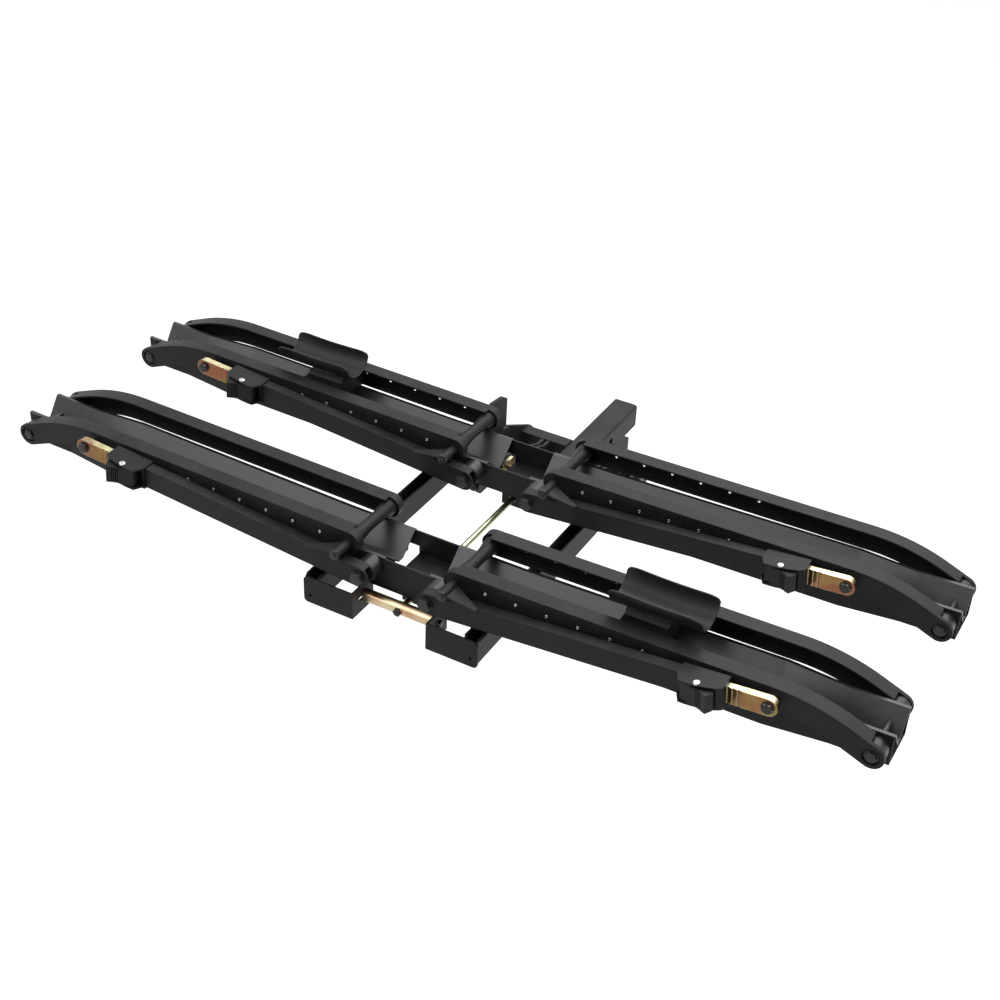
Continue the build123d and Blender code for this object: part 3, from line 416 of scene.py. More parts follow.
def plating_group():
    """Two masks that lay patches of other hues over zinc plating, and its fine brushed height."""
    tree, inside, outside = new_group(
        "plating patches",
        [("Vector", "NodeSocketVector", None), ("Patch", "NodeSocketFloat", 0.05)],
        [
            ("First", "NodeSocketFloat"),
            ("Second", "NodeSocketFloat"),
            ("Height", "NodeSocketFloat"),
        ],
    )
    scale = arithmetic(tree, "DIVIDE", 1.0, inside.outputs["Patch"])
    shifted = tree.nodes.new("ShaderNodeVectorMath")
    shifted.operation = "ADD"
    shifted.inputs[1].default_value = (3.1, 1.7, 0.4)
    tree.links.new(inside.outputs["Vector"], shifted.inputs[0])
    stretched = tree.nodes.new("ShaderNodeVectorMath")
    stretched.operation = "MULTIPLY"
    stretched.inputs[1].default_value = (0.12, 1.0, 1.0)
    tree.links.new(inside.outputs["Vector"], stretched.inputs[0])
    first = ramp(tree, noise(tree, inside.outputs["Vector"], scale, 3.0, 0.5), 0.33, 0.56)
    second = ramp(tree, noise(tree, shifted.outputs[0], scale, 3.0, 0.5), 0.48, 0.7)
    brushed = noise(tree, stretched.outputs[0], 1400.0, 2.0, 0.5)
    tree.links.new(first, outside.inputs["First"])
    tree.links.new(second, outside.inputs["Second"])
    tree.links.new(brushed, outside.inputs["Height"])
    return tree


class Finish:
    """A material under construction, with the object's own coordinates as its texture space."""

    def __init__(self, name, colour, metallic, roughness):
        self.material = bpy.data.materials.new(name)
        self.material.use_nodes = True
        self.material.diffuse_color = (*colour, 1.0)
        self.tree = self.material.node_tree
        self.shader = self.tree.nodes["Principled BSDF"]
        self.shader.inputs["Base Color"].default_value = (*colour, 1.0)
        self.shader.inputs["Metallic"].default_value = metallic
        self.shader.inputs["Roughness"].default_value = roughness
        place = self.tree.nodes.new("ShaderNodeTexCoord")
        self.vector = place.outputs["Object"]

    def group(self, name, **values):
        """One of the shared groups, placed with its own values."""
        node = self.tree.nodes.new("ShaderNodeGroup")
        node.node_tree = bpy.data.node_groups[name]
        self.tree.links.new(self.vector, node.inputs["Vector"])
        for key, value in values.items():
            node.inputs[key.replace("_", " ").title()].default_value = value
        return node

    def surface(self, height, strength, distance, normal):
        """Bump over the rounded normals, into the shader."""
        bump = self.tree.nodes.new("ShaderNodeBump")
        bump.inputs["Strength"].default_value = strength
        bump.inputs["Distance"].default_value = distance
        self.tree.links.new(height, bump.inputs["Height"])
        self.tree.links.new(normal, bump.inputs["Normal"])
        self.tree.links.new(bump.outputs["Normal"], self.shader.inputs["Normal"])

    def colour(self, socket):
        """A colour that varies, into the shader."""
        self.tree.links.new(socket, self.shader.inputs["Base Color"])

    def roughness(self, socket):
        """A roughness that varies, into the shader."""
        self.tree.links.new(socket, self.shader.inputs["Roughness"])


def coated(name, colour, scuffed_highlit_edge_colour, radius, grain, roughness, swing, bump, scuff_and_highlight_amount, dust, gloss):
    """A dark coat: mottled colour, edges worn and lightened by a painted edge highlight, dimples
    and a little dust.
    """
    made = Finish(name, colour, 0.0, roughness)
    made.shader.inputs["Specular IOR Level"].default_value = gloss
    edges = made.group("rounded edges", radius=radius, breakup=0.55)
    coat = made.group("coat grain", grain=grain, base_roughness=roughness, swing=swing)
    dust_and_top_highlight = made.group("dust and top highlight", amount=dust)
    deep = tuple(channel * 0.72 for channel in colour)
    light = tuple(channel * 1.35 for channel in colour)
    share = ramp(made.tree, coat.outputs["Mottle"], 0.38, 0.62)
    mottled = blend_colours(made.tree, share, deep, light)
    # Edges take the edge colour: wear, and a painted edge highlight
    scuff_and_highlight_mask = arithmetic(made.tree, "MULTIPLY", edges.outputs["Edge"], scuff_and_highlight_amount)
    scuffed_and_highlit = blend_colours(made.tree, scuff_and_highlight_mask, mottled, scuffed_highlit_edge_colour)
    dusty = blend_colours(made.tree, dust_and_top_highlight.outputs["Dust And Top Highlight"], scuffed_and_highlit, DUST_COLOUR)
    made.colour(dusty)
    made.roughness(coat.outputs["Roughness"])
    made.surface(coat.outputs["Height"], bump, grain * 0.12, edges.outputs["Normal"])
    return made.material


def plated(name, base, first, second, radius, patch, roughness, shares, top=None):
    """Zinc plating: a metal whose hue changes in soft patches, with a painted highlight that makes
    its top faces and edges paler.
    """
    made = Finish(name, base, 1.0, roughness)
    edges = made.group("rounded edges", radius=radius, breakup=0.2)
    patches = made.group("plating patches", patch=patch)
    pink = arithmetic(made.tree, "MULTIPLY", patches.outputs["First"], shares[0])
    olive = arithmetic(made.tree, "MULTIPLY", patches.outputs["Second"], shares[1])
    once = blend_colours(made.tree, pink, base, first)
    twice = blend_colours(made.tree, olive, once, second)
    # Painted highlight: faces that look up are mixed toward this pale colour, as if lit from above
    pale = top or tuple(min(1.0, channel * 1.25 + 0.1) for channel in base)
    dust_and_top_highlight = made.group("dust and top highlight", amount=1.3 if top else 0.75)
    with_painted_top_highlight = blend_colours(made.tree, dust_and_top_highlight.outputs["Dust And Top Highlight"], twice, pale)
    # Painted edge highlight, partly wear: edges go halfway toward the same pale colour
    scuff_and_highlight_mask = arithmetic(made.tree, "MULTIPLY", edges.outputs["Edge"], 0.5)
    made.colour(blend_colours(made.tree, scuff_and_highlight_mask, with_painted_top_highlight, pale))
    coat = made.group("coat grain", grain=0.004, base_roughness=roughness, swing=0.1)
    made.roughness(coat.outputs["Roughness"])
    made.surface(patches.outputs["Height"], 0.12, 0.0002, edges.outputs["Normal"])
    return made.material


def material(name):
    """The material of that name."""
    return bpy.data.materials[name]


# Mesh making


def add_piece(name, mesh_maker, finish, body):
    """A new object from a bmesh, with its finish, riding on a CAD body."""
    mesh = bpy.data.meshes.new(name)
    work = bmesh.new()
    mesh_maker(work)
    bmesh.ops.recalc_face_normals(work, faces=work.faces)
    work.to_mesh(mesh)
    work.free()
    piece = bpy.data.objects.new(name, mesh)
    bpy.context.scene.collection.objects.link(piece)
    mesh.materials.append(material(finish))
    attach(piece, body)
    return piece


def shade_by_angle(piece, degrees=35.0):
    """Smooth shading, with edges sharper than the angle kept crisp."""
    mesh = piece.data
    for face in mesh.polygons:
        face.use_smooth = True
    work = bmesh.new()
    work.from_mesh(mesh)
    limit = math.radians(degrees)
    for edge in work.edges:
        if len(edge.link_faces) == 2 and edge.calc_face_angle(0.0) > limit:
            edge.smooth = False
    work.to_mesh(mesh)
    work.free()


def axis_frame(centre, axis):
    """A matrix whose Z runs along the axis, at the centre."""
    turn = Vector((0, 0, 1)).rotation_difference(Vector(axis).normalized()).to_matrix().to_4x4()
    return Matrix.Translation(centre) @ turn


def skin_rings(work, rings, close_start=True, close_end=True):
    """Faces between rings of points, with caps; every ring has the same number of points."""
    rows = [[work.verts.new(point) for point in ring] for ring in rings]
    count = len(rows[0])
    for lower, upper in zip(rows, rows[1:]):
        for index in range(count):
            following = (index + 1) % count
            work.faces.new((lower[index], lower[following], upper[following], upper[index]))
    if close_start:
        work.faces.new(list(reversed(rows[0])))
    if close_end:
        work.faces.new(rows[-1])


def around(radius, height, angle):
    """A point on a circle about Z."""
    return Vector((radius * math.cos(angle), radius * math.sin(angle), height))


def turned_rings(place, profile, steps):
    """Rings for a turned form from (radius, height) pairs, along the place's Z."""
    return [
        [place @ around(radius, height, math.tau * step / steps) for step in range(steps)]
        for radius, height in profile
    ]


def hexagon_radius(angle, flats):
    """Distance from a hexagon's centre to its side at an angle; flats is half its width."""
    sixth = math.pi / 3
    return flats / math.cos((angle % sixth) - sixth / 2)


def hex_rings(place, flats, start, end, chamfer, steps):
    """Rings of a hexagonal head whose outer corners are turned off."""
    corner = flats / math.cos(math.pi / 6)
    rings = []
    for height, limit in (
        (start, corner),
        (end - chamfer, corner),
        (end - chamfer * 0.55, corner - (corner - flats) * 0.55),
        (end, flats * 0.97),
        (end + chamfer * 0.1, flats * 0.80),
    ):
        ring = []
        for step in range(steps):
            angle = math.tau * step / steps
            radius = min(hexagon_radius(angle, flats), limit)
            ring.append(place @ around(radius, height, angle))
        rings.append(ring)
    return rings


def bolt_head(name, centre, axis, flats, height, body, stub=0.0, washer=0.0):
    """A chamfered hexagon over a plain CAD one, with a washer, and a thread end if it is a nut."""
    settings = bpy.context.scene.rack_hardware
    steps = settings.hexagon_segments
    cover = settings.head_cover
    place = axis_frame(centre, axis)
    flats = flats * MM + cover
    top = height * MM + cover
    low = cover

    def make(work):
        skin_rings(work, hex_rings(place, flats, low, top, flats * 0.16, steps))
        if washer:
            radius = washer * MM
            thick = min(0.0012, height * MM * 0.4)
            profile = [
                (flats * 0.6, low), (radius, low), (radius, low + thick * 0.7),
                (radius - thick * 0.3, low + thick), (flats * 0.6, low + thick),
            ]
            skin_rings(work, turned_rings(place, profile, steps))
        if stub:
            radius = stub * MM
            profile = [(radius, top - 0.001)]
            for turn in range(3):
                level = top + 0.0008 * turn
                profile += [(radius, level), (radius * 0.88, level + 0.0004)]
            profile += [(radius * 0.86, top + 0.0024), (radius * 0.66, top + 0.0028)]
            skin_rings(work, turned_rings(place, profile, steps))

    piece = add_piece(name, make, "black bolt", body)
    shade_by_angle(piece, 28.0)
    return piece


def weld_bead(name, paths, body):
    """Rippled beads along open or closed paths of points in millimetres."""
    settings = bpy.context.scene.rack_hardware
    radius, pitch = settings.weld_radius, settings.weld_pitch
    sides = 8

    def make(work):
        for index, path in enumerate(paths):
            points = [Vector(point) * MM for point in path]
            samples = []
            for start, end in zip(points, points[1:]):
                count = max(2, int((end - start).length / (pitch / 4)))
                way = (end - start).normalized()
                samples += [(start.lerp(end, step / count), way) for step in range(count)]
            samples.append((points[-1], (points[-1] - points[-2]).normalized()))
            rings = []
            travelled = 0.0
            last = samples[0][0]
            for order, (point, way) in enumerate(samples):
                travelled += (point - last).length
                last = point
                ripple = 1.0 + 0.14 * math.sin(math.tau * travelled / pitch + index)
                wander = 1.0 + 0.08 * math.sin(travelled * 310.0 + 2.1 * index)
                taper = min(1.0, 0.45 + 0.2 * order, 0.45 + 0.2 * (len(samples) - 1 - order))
                swollen = radius * ripple * wander * taper
                rings += turned_rings(axis_frame(point, way), [(swollen, 0.0)], sides)
            skin_rings(work, rings)

    piece = add_piece(name, make, "black powder coat", body)
    shade_by_angle(piece, 60.0)
    return piece


# Operators, one for each group of pieces


class RACK_OT_finishes(bpy.types.Operator):
    """Make every finish and give it to the rack's CAD nodes"""

    bl_idname = "rack.finishes"
    bl_label = "Finishes"

    def execute(self, context):
        settings = context.scene.rack_finish
        edge_group()
        grain_group()
        dust_and_highlight_group()
        plating_group()
        powder = tuple(settings.powder_colour)
        # Colour of worn edges, which also paints an edge highlight
        edge = tuple(settings.scuffed_highlit_edge_colour)
        radius = settings.edge_radius
        grain = settings.powder_grain
        tray = tuple(channel * 1.55 for channel in powder)
        saddle = tuple(settings.saddle_colour)
        plastic = tuple(settings.plastic_colour)
        # Name, colour, edge colour (wear and painted edge highlight), edge radius, grain,
        # roughness, its swing, bump, share of that edge colour, dust, gloss
        for values in (
            ("black powder coat", powder, edge, radius, grain, 0.48, 0.06, 0.32, 0.55, 0.05, 0.16),
            ("tray powder coat", tray, edge, radius, grain, 0.34, 0.05, 0.2, 0.5, 0.07, 0.5),
            (
                "saddle paint", saddle, edge, radius * 1.4, grain * 1.6,
                0.4, 0.05, 0.14, 0.35, 0.03, 0.24,
            ),
            (
                "black bolt", (0.022, 0.022, 0.023), (0.16, 0.155, 0.15), radius * 0.5, grain * 0.6,
                0.33, 0.1, 0.16, 0.5, 0.03, 0.35,
            ),
            (
                "roller plastic", (0.017, 0.017, 0.019), (0.075, 0.075, 0.08), radius, grain * 1.3,
                0.42, 0.05, 0.12, 0.3, 0.03, 0.16,
            ),
            (
                "moulded plastic", plastic, (0.06, 0.06, 0.06), radius * 0.8, grain * 0.7,
                0.46, 0.06, 0.4, 0.4, 0.04, 0.2,
            ),
        ):
            coated(*values)
        straw = tuple(settings.straw_colour)
        pink = tuple(settings.pink_colour)
        olive = tuple(settings.olive_colour)
        pale = tuple(settings.pale_colour)
        bright = tuple(settings.bright_colour)
        # Name, base, two patch colours, edge radius, patch size, roughness, patch shares, top
        # (colour of the painted top highlight)
        for values in (
            (
                "yellow zinc", straw, pink, olive,
                radius, 0.045, 0.3, (1.0, 0.5), (0.92, 0.88, 0.56),
            ),
            (
                "copper zinc", (0.46, 0.27, 0.16), (0.62, 0.55, 0.36), (0.36, 0.17, 0.10),
                radius, 0.035, 0.28, (0.8, 0.5),
            ),
            (
                "pale zinc", pale, (0.52, 0.50, 0.30), (0.66, 0.66, 0.60),
                radius, 0.05, 0.3, (0.5, 0.5),
            ),
            (
                "bright zinc", bright, (0.55, 0.56, 0.58), (0.66, 0.64, 0.58),
                radius * 0.4, 0.01, 0.26, (0.4, 0.3),
            ),
            (
                "spring steel", (0.42, 0.42, 0.42), (0.33, 0.33, 0.34), (0.45, 0.42, 0.36),
                radius * 0.3, 0.02, 0.34, (0.5, 0.4),
            ),
        ):
            plated(*values)
        for name, node in NODES.items():
            if not node.material_slots:
                node.data.materials.append(None)
            for place in node.material_slots:
                place.material = material(self.finish_of(name))
        return {"FINISHED"}

    @staticmethod
    def finish_of(name):
        if name == "handle_bar":
            return "copper zinc"
        if name in ("pull_rod", "striker_pin"):
            return "pale zinc"
        if name == "latch_spring":
            return "spring steel"
        for start, finish in (
            ("saddle", "saddle paint"),
            ("roller_axle", "black bolt"),
            ("roller", "roller plastic"),
            ("ratchet_bar", "yellow zinc"),
            ("latch_hooks", "yellow zinc"),
            ("ratchet_housing", "moulded plastic"),
            ("trigger", "moulded plastic"),
            ("hoop_pivots", "black bolt"),
            ("strut_pivots", "black bolt"),
            ("fold_bolts", "black bolt"),
            ("liner", "tray powder coat"),
        ):
            if name.startswith(start):
                return finish
        return "black powder coat"


class RACK_OT_bolts(bpy.types.Operator):
    """Dress the hexagons of the pivots, axles and bolts"""

    bl_idname = "rack.bolts"
    bl_label = "Bolts and nuts"

    def execute(self, context):
        for tray, side in HALVES:
            key = f"{tray}_{side}"
            hoop = f"hoop_{key}"
            for end, sign in (("front", -1.0), ("back", 1.0)):
                bolt_head(
                    f"pivot_bolt_{key}_{end}",
                    tray_point(tray, side, HOOP_PIVOT[0], sign * PIVOT_BOLT_FACE, HOOP_PIVOT[1]),
                    (0, sign, 0), 8.0, 5.6, "platform", washer=11.5,
                )
            bolt_head(
                f"strut_bolt_{key}",
                tray_point(tray, side, STRUT_PIVOT_X, -STRUT_BOLT_FACE, 0.0),
                (0, -1, 0), 9.6, 6.5, "platform",
            )
            bolt_head(
                f"lever_nut_{key}",
                tray_point(tray, side, ROLLER[0], -LEVER_NUT_FACE, ROLLER[1]),
                (0, -1, 0), 8.0, 4.0, hoop, stub=4.6,
            )
            bolt_head(
                f"axle_head_{key}",
                tray_point(tray, side, ROLLER[0], RAIL_FACE, ROLLER[1]),
                (0, 1, 0), 8.0, 4.0, hoop, washer=10.5,
            )
            bolt_head(
                f"bar_bolt_{key}",
                tray_point(tray, side, BAR_BOLT[0], -BAR_BOLT_FACE, BAR_BOLT[1]),
                (0, -1, 0), 8.0, 5.0, f"ratchet_bar_{key}", washer=10.0,
            )
        for side, sign in SIDE_SIGN.items():
            for end, x, way in FOLD_BOLT_FACES:
                bolt_head(
                    f"fold_bolt_{side}_{end}",
                    Vector((sign * x, FOLD_PIVOT[0], FOLD_PIVOT[1])) * MM,
                    (sign * way, 0, 0), 12.8, 7.0, "stinger",
                )
            bolt_head(
                f"pull_bar_bolt_{side}",
                Vector((sign * PULL_BAR_END, HANDLE_Y, LATCH_Z)) * MM,
                (sign, 0, 0), 4.8, 4.0, "latch",
            )
        bolt_head(
            "pull_bar_nut",
            Vector((0, HANDLE_Y - PULL_BAR_RADIUS, LATCH_Z)) * MM,
            (0, -1, 0), 6.4, 4.0, "latch", stub=3.4,
        )
        return {"FINISHED"}


class RACK_OT_rivets(bpy.types.Operator):
    """Set rivets in the holes of the front rails and eyelets in those of the back rails"""

    bl_idname = "rack.rivets"
    bl_label = "Rail rivets"

    def execute(self, context):
        settings = context.scene.rack_hardware
        radius = settings.rivet_radius
        wall = settings.eyelet_wall
        for tray, side in HALVES:
            key = f"{tray}_{side}"
            fronts = [tray_point(tray, side, x, -RAIL_FACE, rail_z(x)) for x in RAIL_HOLES]
            backs = [tray_point(tray, side, x, RAIL_FACE, rail_z(x)) for x in RAIL_HOLES]

            def rivets(work):
                for centre in fronts:
                    place = axis_frame(centre, (0, -1, 0))
                    profile = [
                        (radius * 0.8, -0.0036), (radius * 0.98, -0.003), (radius * 0.98, 0.0001),
                        (radius * 0.9, 0.0005), (radius * 0.62, 0.0008), (radius * 0.45, 0.0004),
                        (radius * 0.2, 0.0003),
                    ]
                    skin_rings(work, turned_rings(place, profile, 20))

            def eyelets(work):
                for centre in backs:
                    place = axis_frame(centre, (0, 1, 0))
                    profile = [
                        (radius - wall, -0.0036), (radius, -0.0036), (radius, 0.0),
                        (radius + wall, 0.0001), (radius + wall, 0.0005),
                        (radius - wall * 0.5, 0.0007), (radius - wall, 0.0002),
                        (radius - wall, -0.0036),
                    ]
                    rings = turned_rings(place, profile, 20)
                    skin_rings(work, rings, close_start=False, close_end=False)
                    bmesh.ops.remove_doubles(work, verts=work.verts, dist=1e-7)

            hoop = f"hoop_{key}"
            shade_by_angle(add_piece(f"rivets_{key}", rivets, "bright zinc", hoop))
            shade_by_angle(add_piece(f"eyelets_{key}", eyelets, "bright zinc", hoop))
        return {"FINISHED"}


class RACK_OT_saddles(bpy.types.Operator):
    """Replace the plain saddles by rounded cradles on softened blocks"""

    bl_idname = "rack.saddles"
    bl_label = "Saddles"

    def execute(self, context):
        for tray, side in SADDLE_HALVES:
            node = f"saddle_{tray}_{side}"
            cradle = self.cradle(tray, side)
            block = self.block(tray, side, node)
            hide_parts(node)
            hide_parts(node)
        return {"FINISHED"}

    @staticmethod
    def cradle(tray, side):
        """The half-pipe sheet: round in section, bent along its length, with rounded corners."""
        settings = bpy.context.scene.rack_saddle
        half_length = settings.length / 2 / MM
        rim = settings.width / 2 / MM
        depth = settings.depth / MM
        sheet = settings.sheet / MM
        flare = settings.flare / MM
        radius = (rim * rim + depth * depth) / (2 * depth)
        if depth > radius:
            reach = math.pi / 2 + math.asin((depth - radius) / radius)
        else:
            reach = math.asin(rim / radius)
        bottom = SADDLE_RIM_Z - depth
        along, across = 48, 36

        def point(u, v, lift):
            """u runs from end to end and v from rim to rim, both from -1 to 1."""
            corner = math.sqrt(max(0.0, 1.0 - abs(u) ** 8))
            spread = reach * (0.84 + 0.16 * corner)
            angle = spread * v
            opened = flare * max(0.0, abs(u) - 0.72) / 0.28
            swell = radius + lift * sheet
            x = SADDLE_X + half_length * u
            rise = SADDLE_BEND - math.sqrt(SADDLE_BEND * SADDLE_BEND - (half_length * u) ** 2)
            y = (swell + opened * 0.5) * math.sin(angle)
            z = bottom + radius - swell * math.cos(angle) + rise
            z -= opened * 0.6 * math.sin(angle) ** 2
            return tray_point(tray, side, x, y, z)

        def make(work):
            inner, outer = (
                [
                    [
                        work.verts.new(point(-1 + 2 * i / along, -1 + 2 * j / across, lift))
                        for j in range(across + 1)
                    ]
                    for i in range(along + 1)
                ]
                for lift in (0.0, 1.0)
            )
            for i in range(along):
                for j in range(across):
                    work.faces.new(
                        (inner[i][j], inner[i + 1][j], inner[i + 1][j + 1], inner[i][j + 1])
                    )
                    work.faces.new(
                        (outer[i][j], outer[i][j + 1], outer[i + 1][j + 1], outer[i + 1][j])
                    )
            for i in range(along):
                for j in (0, across):
                    work.faces.new((inner[i][j], inner[i + 1][j], outer[i + 1][j], outer[i][j]))
            for j in range(across):
                for i in (0, along):
                    work.faces.new((inner[i][j], inner[i][j + 1], outer[i][j + 1], outer[i][j]))

        name = f"cradle_{tray}_{side}"
        piece = add_piece(name, make, "saddle paint", f"hoop_{tray}_{side}")
        rounding = piece.modifiers.new("rounded rim", "BEVEL")
        rounding.width = 0.0009
        rounding.segments = 3
        rounding.limit_method = "ANGLE"
        rounding.angle_limit = math.radians(50)
        shade_by_angle(piece, 80.0)
        return piece

    @staticmethod
    def block(tray, side, node):
        """The block under the cradle: the CAD solid's own lower part with softened edges."""
        source = NODES[node].data
        mesh = source.copy()
        mesh.name = f"saddle_block_{tray}_{side}"
        work = bmesh.new()
        work.from_mesh(mesh)
        bmesh.ops.remove_doubles(work, verts=work.verts, dist=1e-6)
        low, high = (x * MM for x in SADDLE_BLOCK_X)
        seen = set()
        doomed = []
        for start in work.verts:
            if start in seen:
                continue
            island, queue = [], [start]
            seen.add(start)
            while queue:
                vertex = queue.pop()
                island.append(vertex)
                for edge in vertex.link_edges:
                    other = edge.other_vert(vertex)
                    if other not in seen:
                        seen.add(other)
                        queue.append(other)
            if not all(low < abs(v.co.x) < high for v in island):
                doomed += island
        if len(doomed) in (0, len(work.verts)):
            work.free()
            raise RuntimeError(f"{node}: its cradle and block weren't told apart")
        bmesh.ops.delete(work, geom=doomed, context="VERTS")
        bmesh.ops.dissolve_limit(
            work, angle_limit=math.radians(1.0), verts=work.verts, edges=work.edges
        )
        for vertex in work.verts:
            if vertex.co.z > (PIVOT_Z + SADDLE_BLOCK_TOP - 1.0) * MM:
                vertex.co.z += SADDLE_BLOCK_RISE * MM
        work.to_mesh(mesh)
        work.free()
        piece = bpy.data.objects.new(mesh.name, mesh)
        bpy.context.scene.collection.objects.link(piece)
        mesh.materials.clear()
        mesh.materials.append(material("moulded plastic"))
        rounding = piece.modifiers.new("softened edges", "BEVEL")
        rounding.width = 0.0012
        rounding.segments = 2
        rounding.limit_method = "ANGLE"
        rounding.angle_limit = math.radians(40)
        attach(piece, f"hoop_{tray}_{side}")
        shade_by_angle(piece, 35.0)
        return piece


class RACK_OT_ratchets(bpy.types.Operator):
    """Set the cross-headed screws on the ratchet housings"""

    bl_idname = "rack.ratchets"
    bl_label = "Housing screws"

    def execute(self, context):
        for tray, side in HALVES:
            self.screw(tray, side)
        return {"FINISHED"}

    @staticmethod
    def screw(tray, side):
        """Pan head with a cross recess on the housing's top plate."""
        key = f"{tray}_{side}"
        centre = strut_point(tray, side, TRIGGER_AXIS[0], TRIGGER_AXIS[1], HOUSING_TOP)
        sign = SIDE_SIGN[side]
        up = Vector((-sign * math.sin(STRUT_SLOPE), 0, math.cos(STRUT_SLOPE)))
        place = axis_frame(centre, up)

        def make(work):
            steps, radius = 32, 0.0056
            profile = [
                (radius * 0.7, -0.0022), (radius, -0.0020), (radius, -0.0006),
                (radius * 0.93, 0.0004), (radius * 0.72, 0.0010), (radius * 0.45, 0.0013),
            ]
            recess = [[], []]
            for index in range(steps):
                angle = math.tau * index / steps
                arm = abs(math.cos(2 * angle))
                reach = 0.45 * radius * (0.30 + 0.62 * arm**3)
                for ring, height in zip(recess, (0.0012, -0.0004)):
                    ring.append(place @ around(reach, height, angle))
            skin_rings(work, turned_rings(place, profile, steps) + recess)

        name = f"housing_screw_{key}"
        shade_by_angle(add_piece(name, make, "bright zinc", f"strut_{key}"), 40.0)


class RACK_OT_latch_spring(bpy.types.Operator):
    """Wind the latch spring with closed ends"""

    bl_idname = "rack.latch_spring"
    bl_label = "Latch spring"

    def execute(self, context):
        low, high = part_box("latch_spring")
        wire = 0.0009
        radius = (high.x - low.x) / 2 - wire
        start, end = low.y + wire, high.y - wire
        turns, steps = 9.0, 28
        total = int(turns * steps)
        points = []
        for index in range(total + 1):
            turn = index / steps
            closing = min(turn, turns - turn, 1.0)
            share = turn / turns
            ease = 0.5 - 0.5 * math.cos(math.pi * closing)
            plain = start + (end - start) * share
            edge = start if share < 0.5 else end
            y = edge + (plain - edge) * (0.35 + 0.65 * ease)
            angle = math.tau * turn
            height = LATCH_Z * MM + radius * math.sin(angle)
            points.append(Vector((radius * math.cos(angle), y, height)))

        def make(work):
            rings = []
            for index, point in enumerate(points):
                before = points[max(index - 1, 0)]
                after = points[min(index + 1, total)]
                outward = Vector((point.x, 0.0, point.z - LATCH_Z * MM)).normalized()
                way = (after - before).normalized()
                side = way.cross(outward).normalized()
                angles = [math.tau * step / 12 for step in range(12)]
                rings.append([
                    point + outward * wire * math.cos(angle) + side * wire * math.sin(angle)
                    for angle in angles
                ])
            skin_rings(work, rings)

        piece = add_piece("latch_spring_wound", make, "spring steel", "platform")
        shade_by_angle(piece, 60.0)
        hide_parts("latch_spring")
        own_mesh(piece)
        return {"FINISHED"}


class RACK_OT_welds(bpy.types.Operator):
    """Lay weld beads where the hitch tube, cross tubes, plates and brackets are joined"""

    bl_idname = "rack.welds"
    bl_label = "Weld beads"

    def execute(self, context):
        stinger, platform = [], []
        front, back, low, top = -95.0, -69.0, -21.6, 24.4
        for sign in (-1.0, 1.0):
            for x in (HITCH_HALF + 0.4, 122.6):
                for y in (front, back):
                    stinger.append([(sign * x, y, low), (sign * x, y, top)])
            for x in (60.0, 66.0, 72.0, 78.0):
                stinger.append([(sign * x, front, -20.0), (sign * x, front, 22.0)])
            for x in (137.4, 161.6):
                platform.append([(sign * x, -756.0, 85.6), (sign * x, -712.0, 85.6)])
            for y0, y1 in ((-708.0, -614.0), (-378.0, -284.0)):
                for x in (sign * 136.8, sign * 162.2):
                    platform.append([(x, y0 + 6, 85.4), (x, y1 - 6, 85.4)])
        weld_bead("weld_beads_hitch", stinger, "stinger")
        weld_bead("weld_beads_platform", platform, "platform")
        return {"FINISHED"}


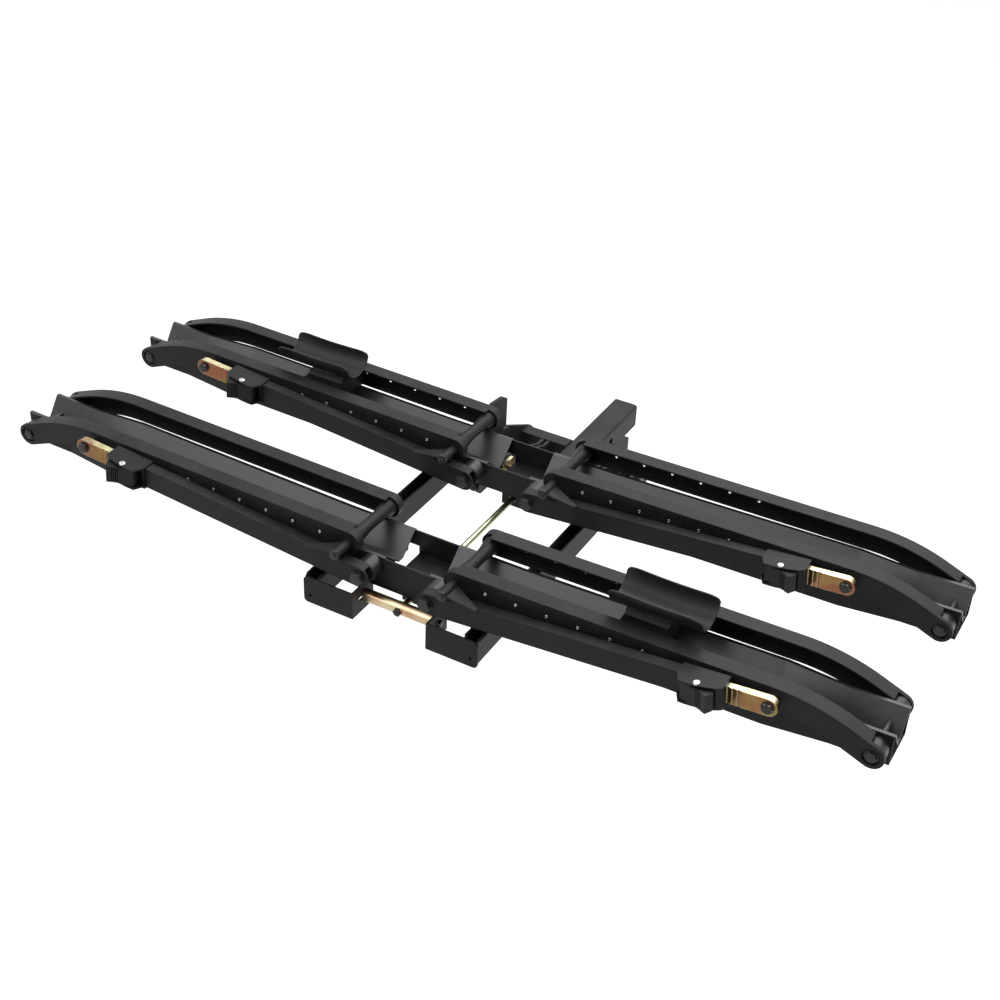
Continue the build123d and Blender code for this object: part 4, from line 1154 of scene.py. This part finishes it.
class RACK_OT_stage(bpy.types.Operator):
    """Set up the floor, the soft lights, the world and the camera"""

    bl_idname = "rack.stage"
    bl_label = "Stage"

    def execute(self, context):
        settings = context.scene.rack_stage
        self.floor(settings)
        self.world(settings)
        self.lights(settings)
        self.camera(settings)
        context.scene.view_settings.view_transform = "Standard"
        return {"FINISHED"}

    @staticmethod
    def background_share(tree):
        """1 for rays that the camera, gloss or clear material sends, else 0."""
        path = tree.nodes.new("ShaderNodeLightPath")
        camera, glossy = path.outputs["Is Camera Ray"], path.outputs["Is Glossy Ray"]
        seen = arithmetic(tree, "MAXIMUM", camera, glossy)
        return arithmetic(tree, "MAXIMUM", seen, path.outputs["Is Transmission Ray"])

    def floor(self, settings):
        """A plain floor that looks white to the camera and keeps the rack's shadow."""
        mesh = bpy.data.meshes.new("floor")
        work = bmesh.new()
        level = cad_box[0][2] - settings.floor_drop
        half = FLOOR_HALF
        corners = ((-half, -half), (half, -half), (half, half), (-half, half))
        work.faces.new([work.verts.new((x, y, level)) for x, y in corners])
        work.to_mesh(mesh)
        work.free()
        floor = bpy.data.objects.new("floor", mesh)
        bpy.context.scene.collection.objects.link(floor)
        paint = bpy.data.materials.new("floor paint")
        paint.use_nodes = True
        tree = paint.node_tree
        shader = tree.nodes["Principled BSDF"]
        shader.inputs["Base Color"].default_value = (*settings.floor_colour, 1.0)
        shader.inputs["Roughness"].default_value = 0.9
        shader.inputs["Specular IOR Level"].default_value = 0.0
        shader.inputs["Emission Color"].default_value = (1.0, 1.0, 1.0, 1.0)
        glow = arithmetic(tree, "MULTIPLY", self.background_share(tree), FLOOR_GLOW)
        tree.links.new(glow, shader.inputs["Emission Strength"])
        mesh.materials.append(paint)

    def world(self, settings):
        """Even, plain light that looks white to the camera."""
        world = bpy.data.worlds.new("studio")
        bpy.context.scene.world = world
        world.use_nodes = True
        tree = world.node_tree
        sky = tree.nodes["Background"]
        sky.inputs["Color"].default_value = (1.0, 1.0, 1.0, 1.0)
        share = self.background_share(tree)
        extra = arithmetic(tree, "MULTIPLY", share, 1.0 - settings.world_light)
        strength = arithmetic(tree, "ADD", extra, settings.world_light)
        tree.links.new(strength, sky.inputs["Strength"])

    @staticmethod
    def lights(settings):
        """Three soft boxes that face the rack's middle."""
        centre = Vector(LIGHT_CENTRE)
        for name, power, place, size in (
            ("top soft box", settings.top_light, (0.5, 0.9, 2.3), (3.4, 2.4)),
            ("front soft box", settings.side_light, (-1.3, -2.1, 2.5), (2.2, 2.0)),
            ("end soft box", settings.side_light * 0.3, (2.9, -0.4, 1.6), (1.8, 1.8)),
        ):
            data = bpy.data.lights.new(name, "AREA")
            data.energy = power
            data.shape = "RECTANGLE"
            data.size, data.size_y = size
            lamp = bpy.data.objects.new(name, data)
            bpy.context.scene.collection.objects.link(lamp)
            lamp.location = place
            lamp.rotation_euler = (centre - Vector(place)).to_track_quat("-Z", "Y").to_euler()

    @staticmethod
    def camera(settings):
        """The camera that took the photo, as worked out from it."""
        azimuth, elevation, roll = (math.radians(angle) for angle in CAMERA_ANGLES)
        right = Vector((math.cos(azimuth), math.sin(azimuth), 0.0))
        ahead = Vector((
            -math.sin(azimuth) * math.cos(elevation),
            math.cos(azimuth) * math.cos(elevation),
            -math.sin(elevation),
        ))
        up = right.cross(ahead)
        rolled_right = right * math.cos(roll) + up * math.sin(roll)
        rolled_up = up * math.cos(roll) - right * math.sin(roll)
        data = bpy.data.cameras.new("photo camera")
        data.sensor_fit = "HORIZONTAL"
        data.sensor_width = 36.0
        data.lens = settings.focal_length
        data.clip_start = 0.05
        data.clip_end = 100.0
        camera = bpy.data.objects.new("photo camera", data)
        bpy.context.scene.collection.objects.link(camera)
        turn = Matrix((rolled_right, rolled_up, -ahead)).transposed().to_4x4()
        camera.matrix_world = Matrix.Translation(CAMERA_PLACE) @ turn
        bpy.context.scene.camera = camera


class RACK_PT_panel(bpy.types.Panel):
    """The rack's makers and settings in the sidebar"""

    bl_idname = "RACK_PT_panel"
    bl_label = "Bike Rack"
    bl_space_type = "VIEW_3D"
    bl_region_type = "UI"
    bl_category = "Bike Rack"

    def draw(self, context):
        layout = self.layout
        for operator in OPERATORS:
            layout.operator(operator.bl_idname)
        for key in SETTINGS:
            group = getattr(context.scene, key)
            box = layout.box()
            for name in group.bl_rna.properties.keys():
                if name not in ("rna_type", "name"):
                    box.prop(group, name)


OPERATORS = (
    RACK_OT_finishes,
    RACK_OT_bolts,
    RACK_OT_rivets,
    RACK_OT_saddles,
    RACK_OT_ratchets,
    RACK_OT_latch_spring,
    RACK_OT_welds,
    RACK_OT_stage,
)
SETTINGS = {
    "rack_finish": RackFinishSettings,
    "rack_hardware": RackHardwareSettings,
    "rack_saddle": RackSaddleSettings,
    "rack_stage": RackStageSettings,
}


def register():
    for settings in SETTINGS.values():
        bpy.utils.register_class(settings)
    for operator in OPERATORS:
        bpy.utils.register_class(operator)
    bpy.utils.register_class(RACK_PT_panel)
    for key, settings in SETTINGS.items():
        setattr(bpy.types.Scene, key, PointerProperty(type=settings))


def unregister():
    for key in SETTINGS:
        delattr(bpy.types.Scene, key)
    bpy.utils.unregister_class(RACK_PT_panel)
    for operator in reversed(OPERATORS):
        bpy.utils.unregister_class(operator)
    for settings in reversed(SETTINGS.values()):
        bpy.utils.unregister_class(settings)


def main():
    register()
    bpy.ops.rack.finishes()
    bpy.ops.rack.bolts()
    bpy.ops.rack.rivets()
    bpy.ops.rack.saddles()
    bpy.ops.rack.ratchets()
    bpy.ops.rack.latch_spring()
    bpy.ops.rack.welds()
    bpy.ops.rack.stage()


if __name__ == "__main__":
    main()
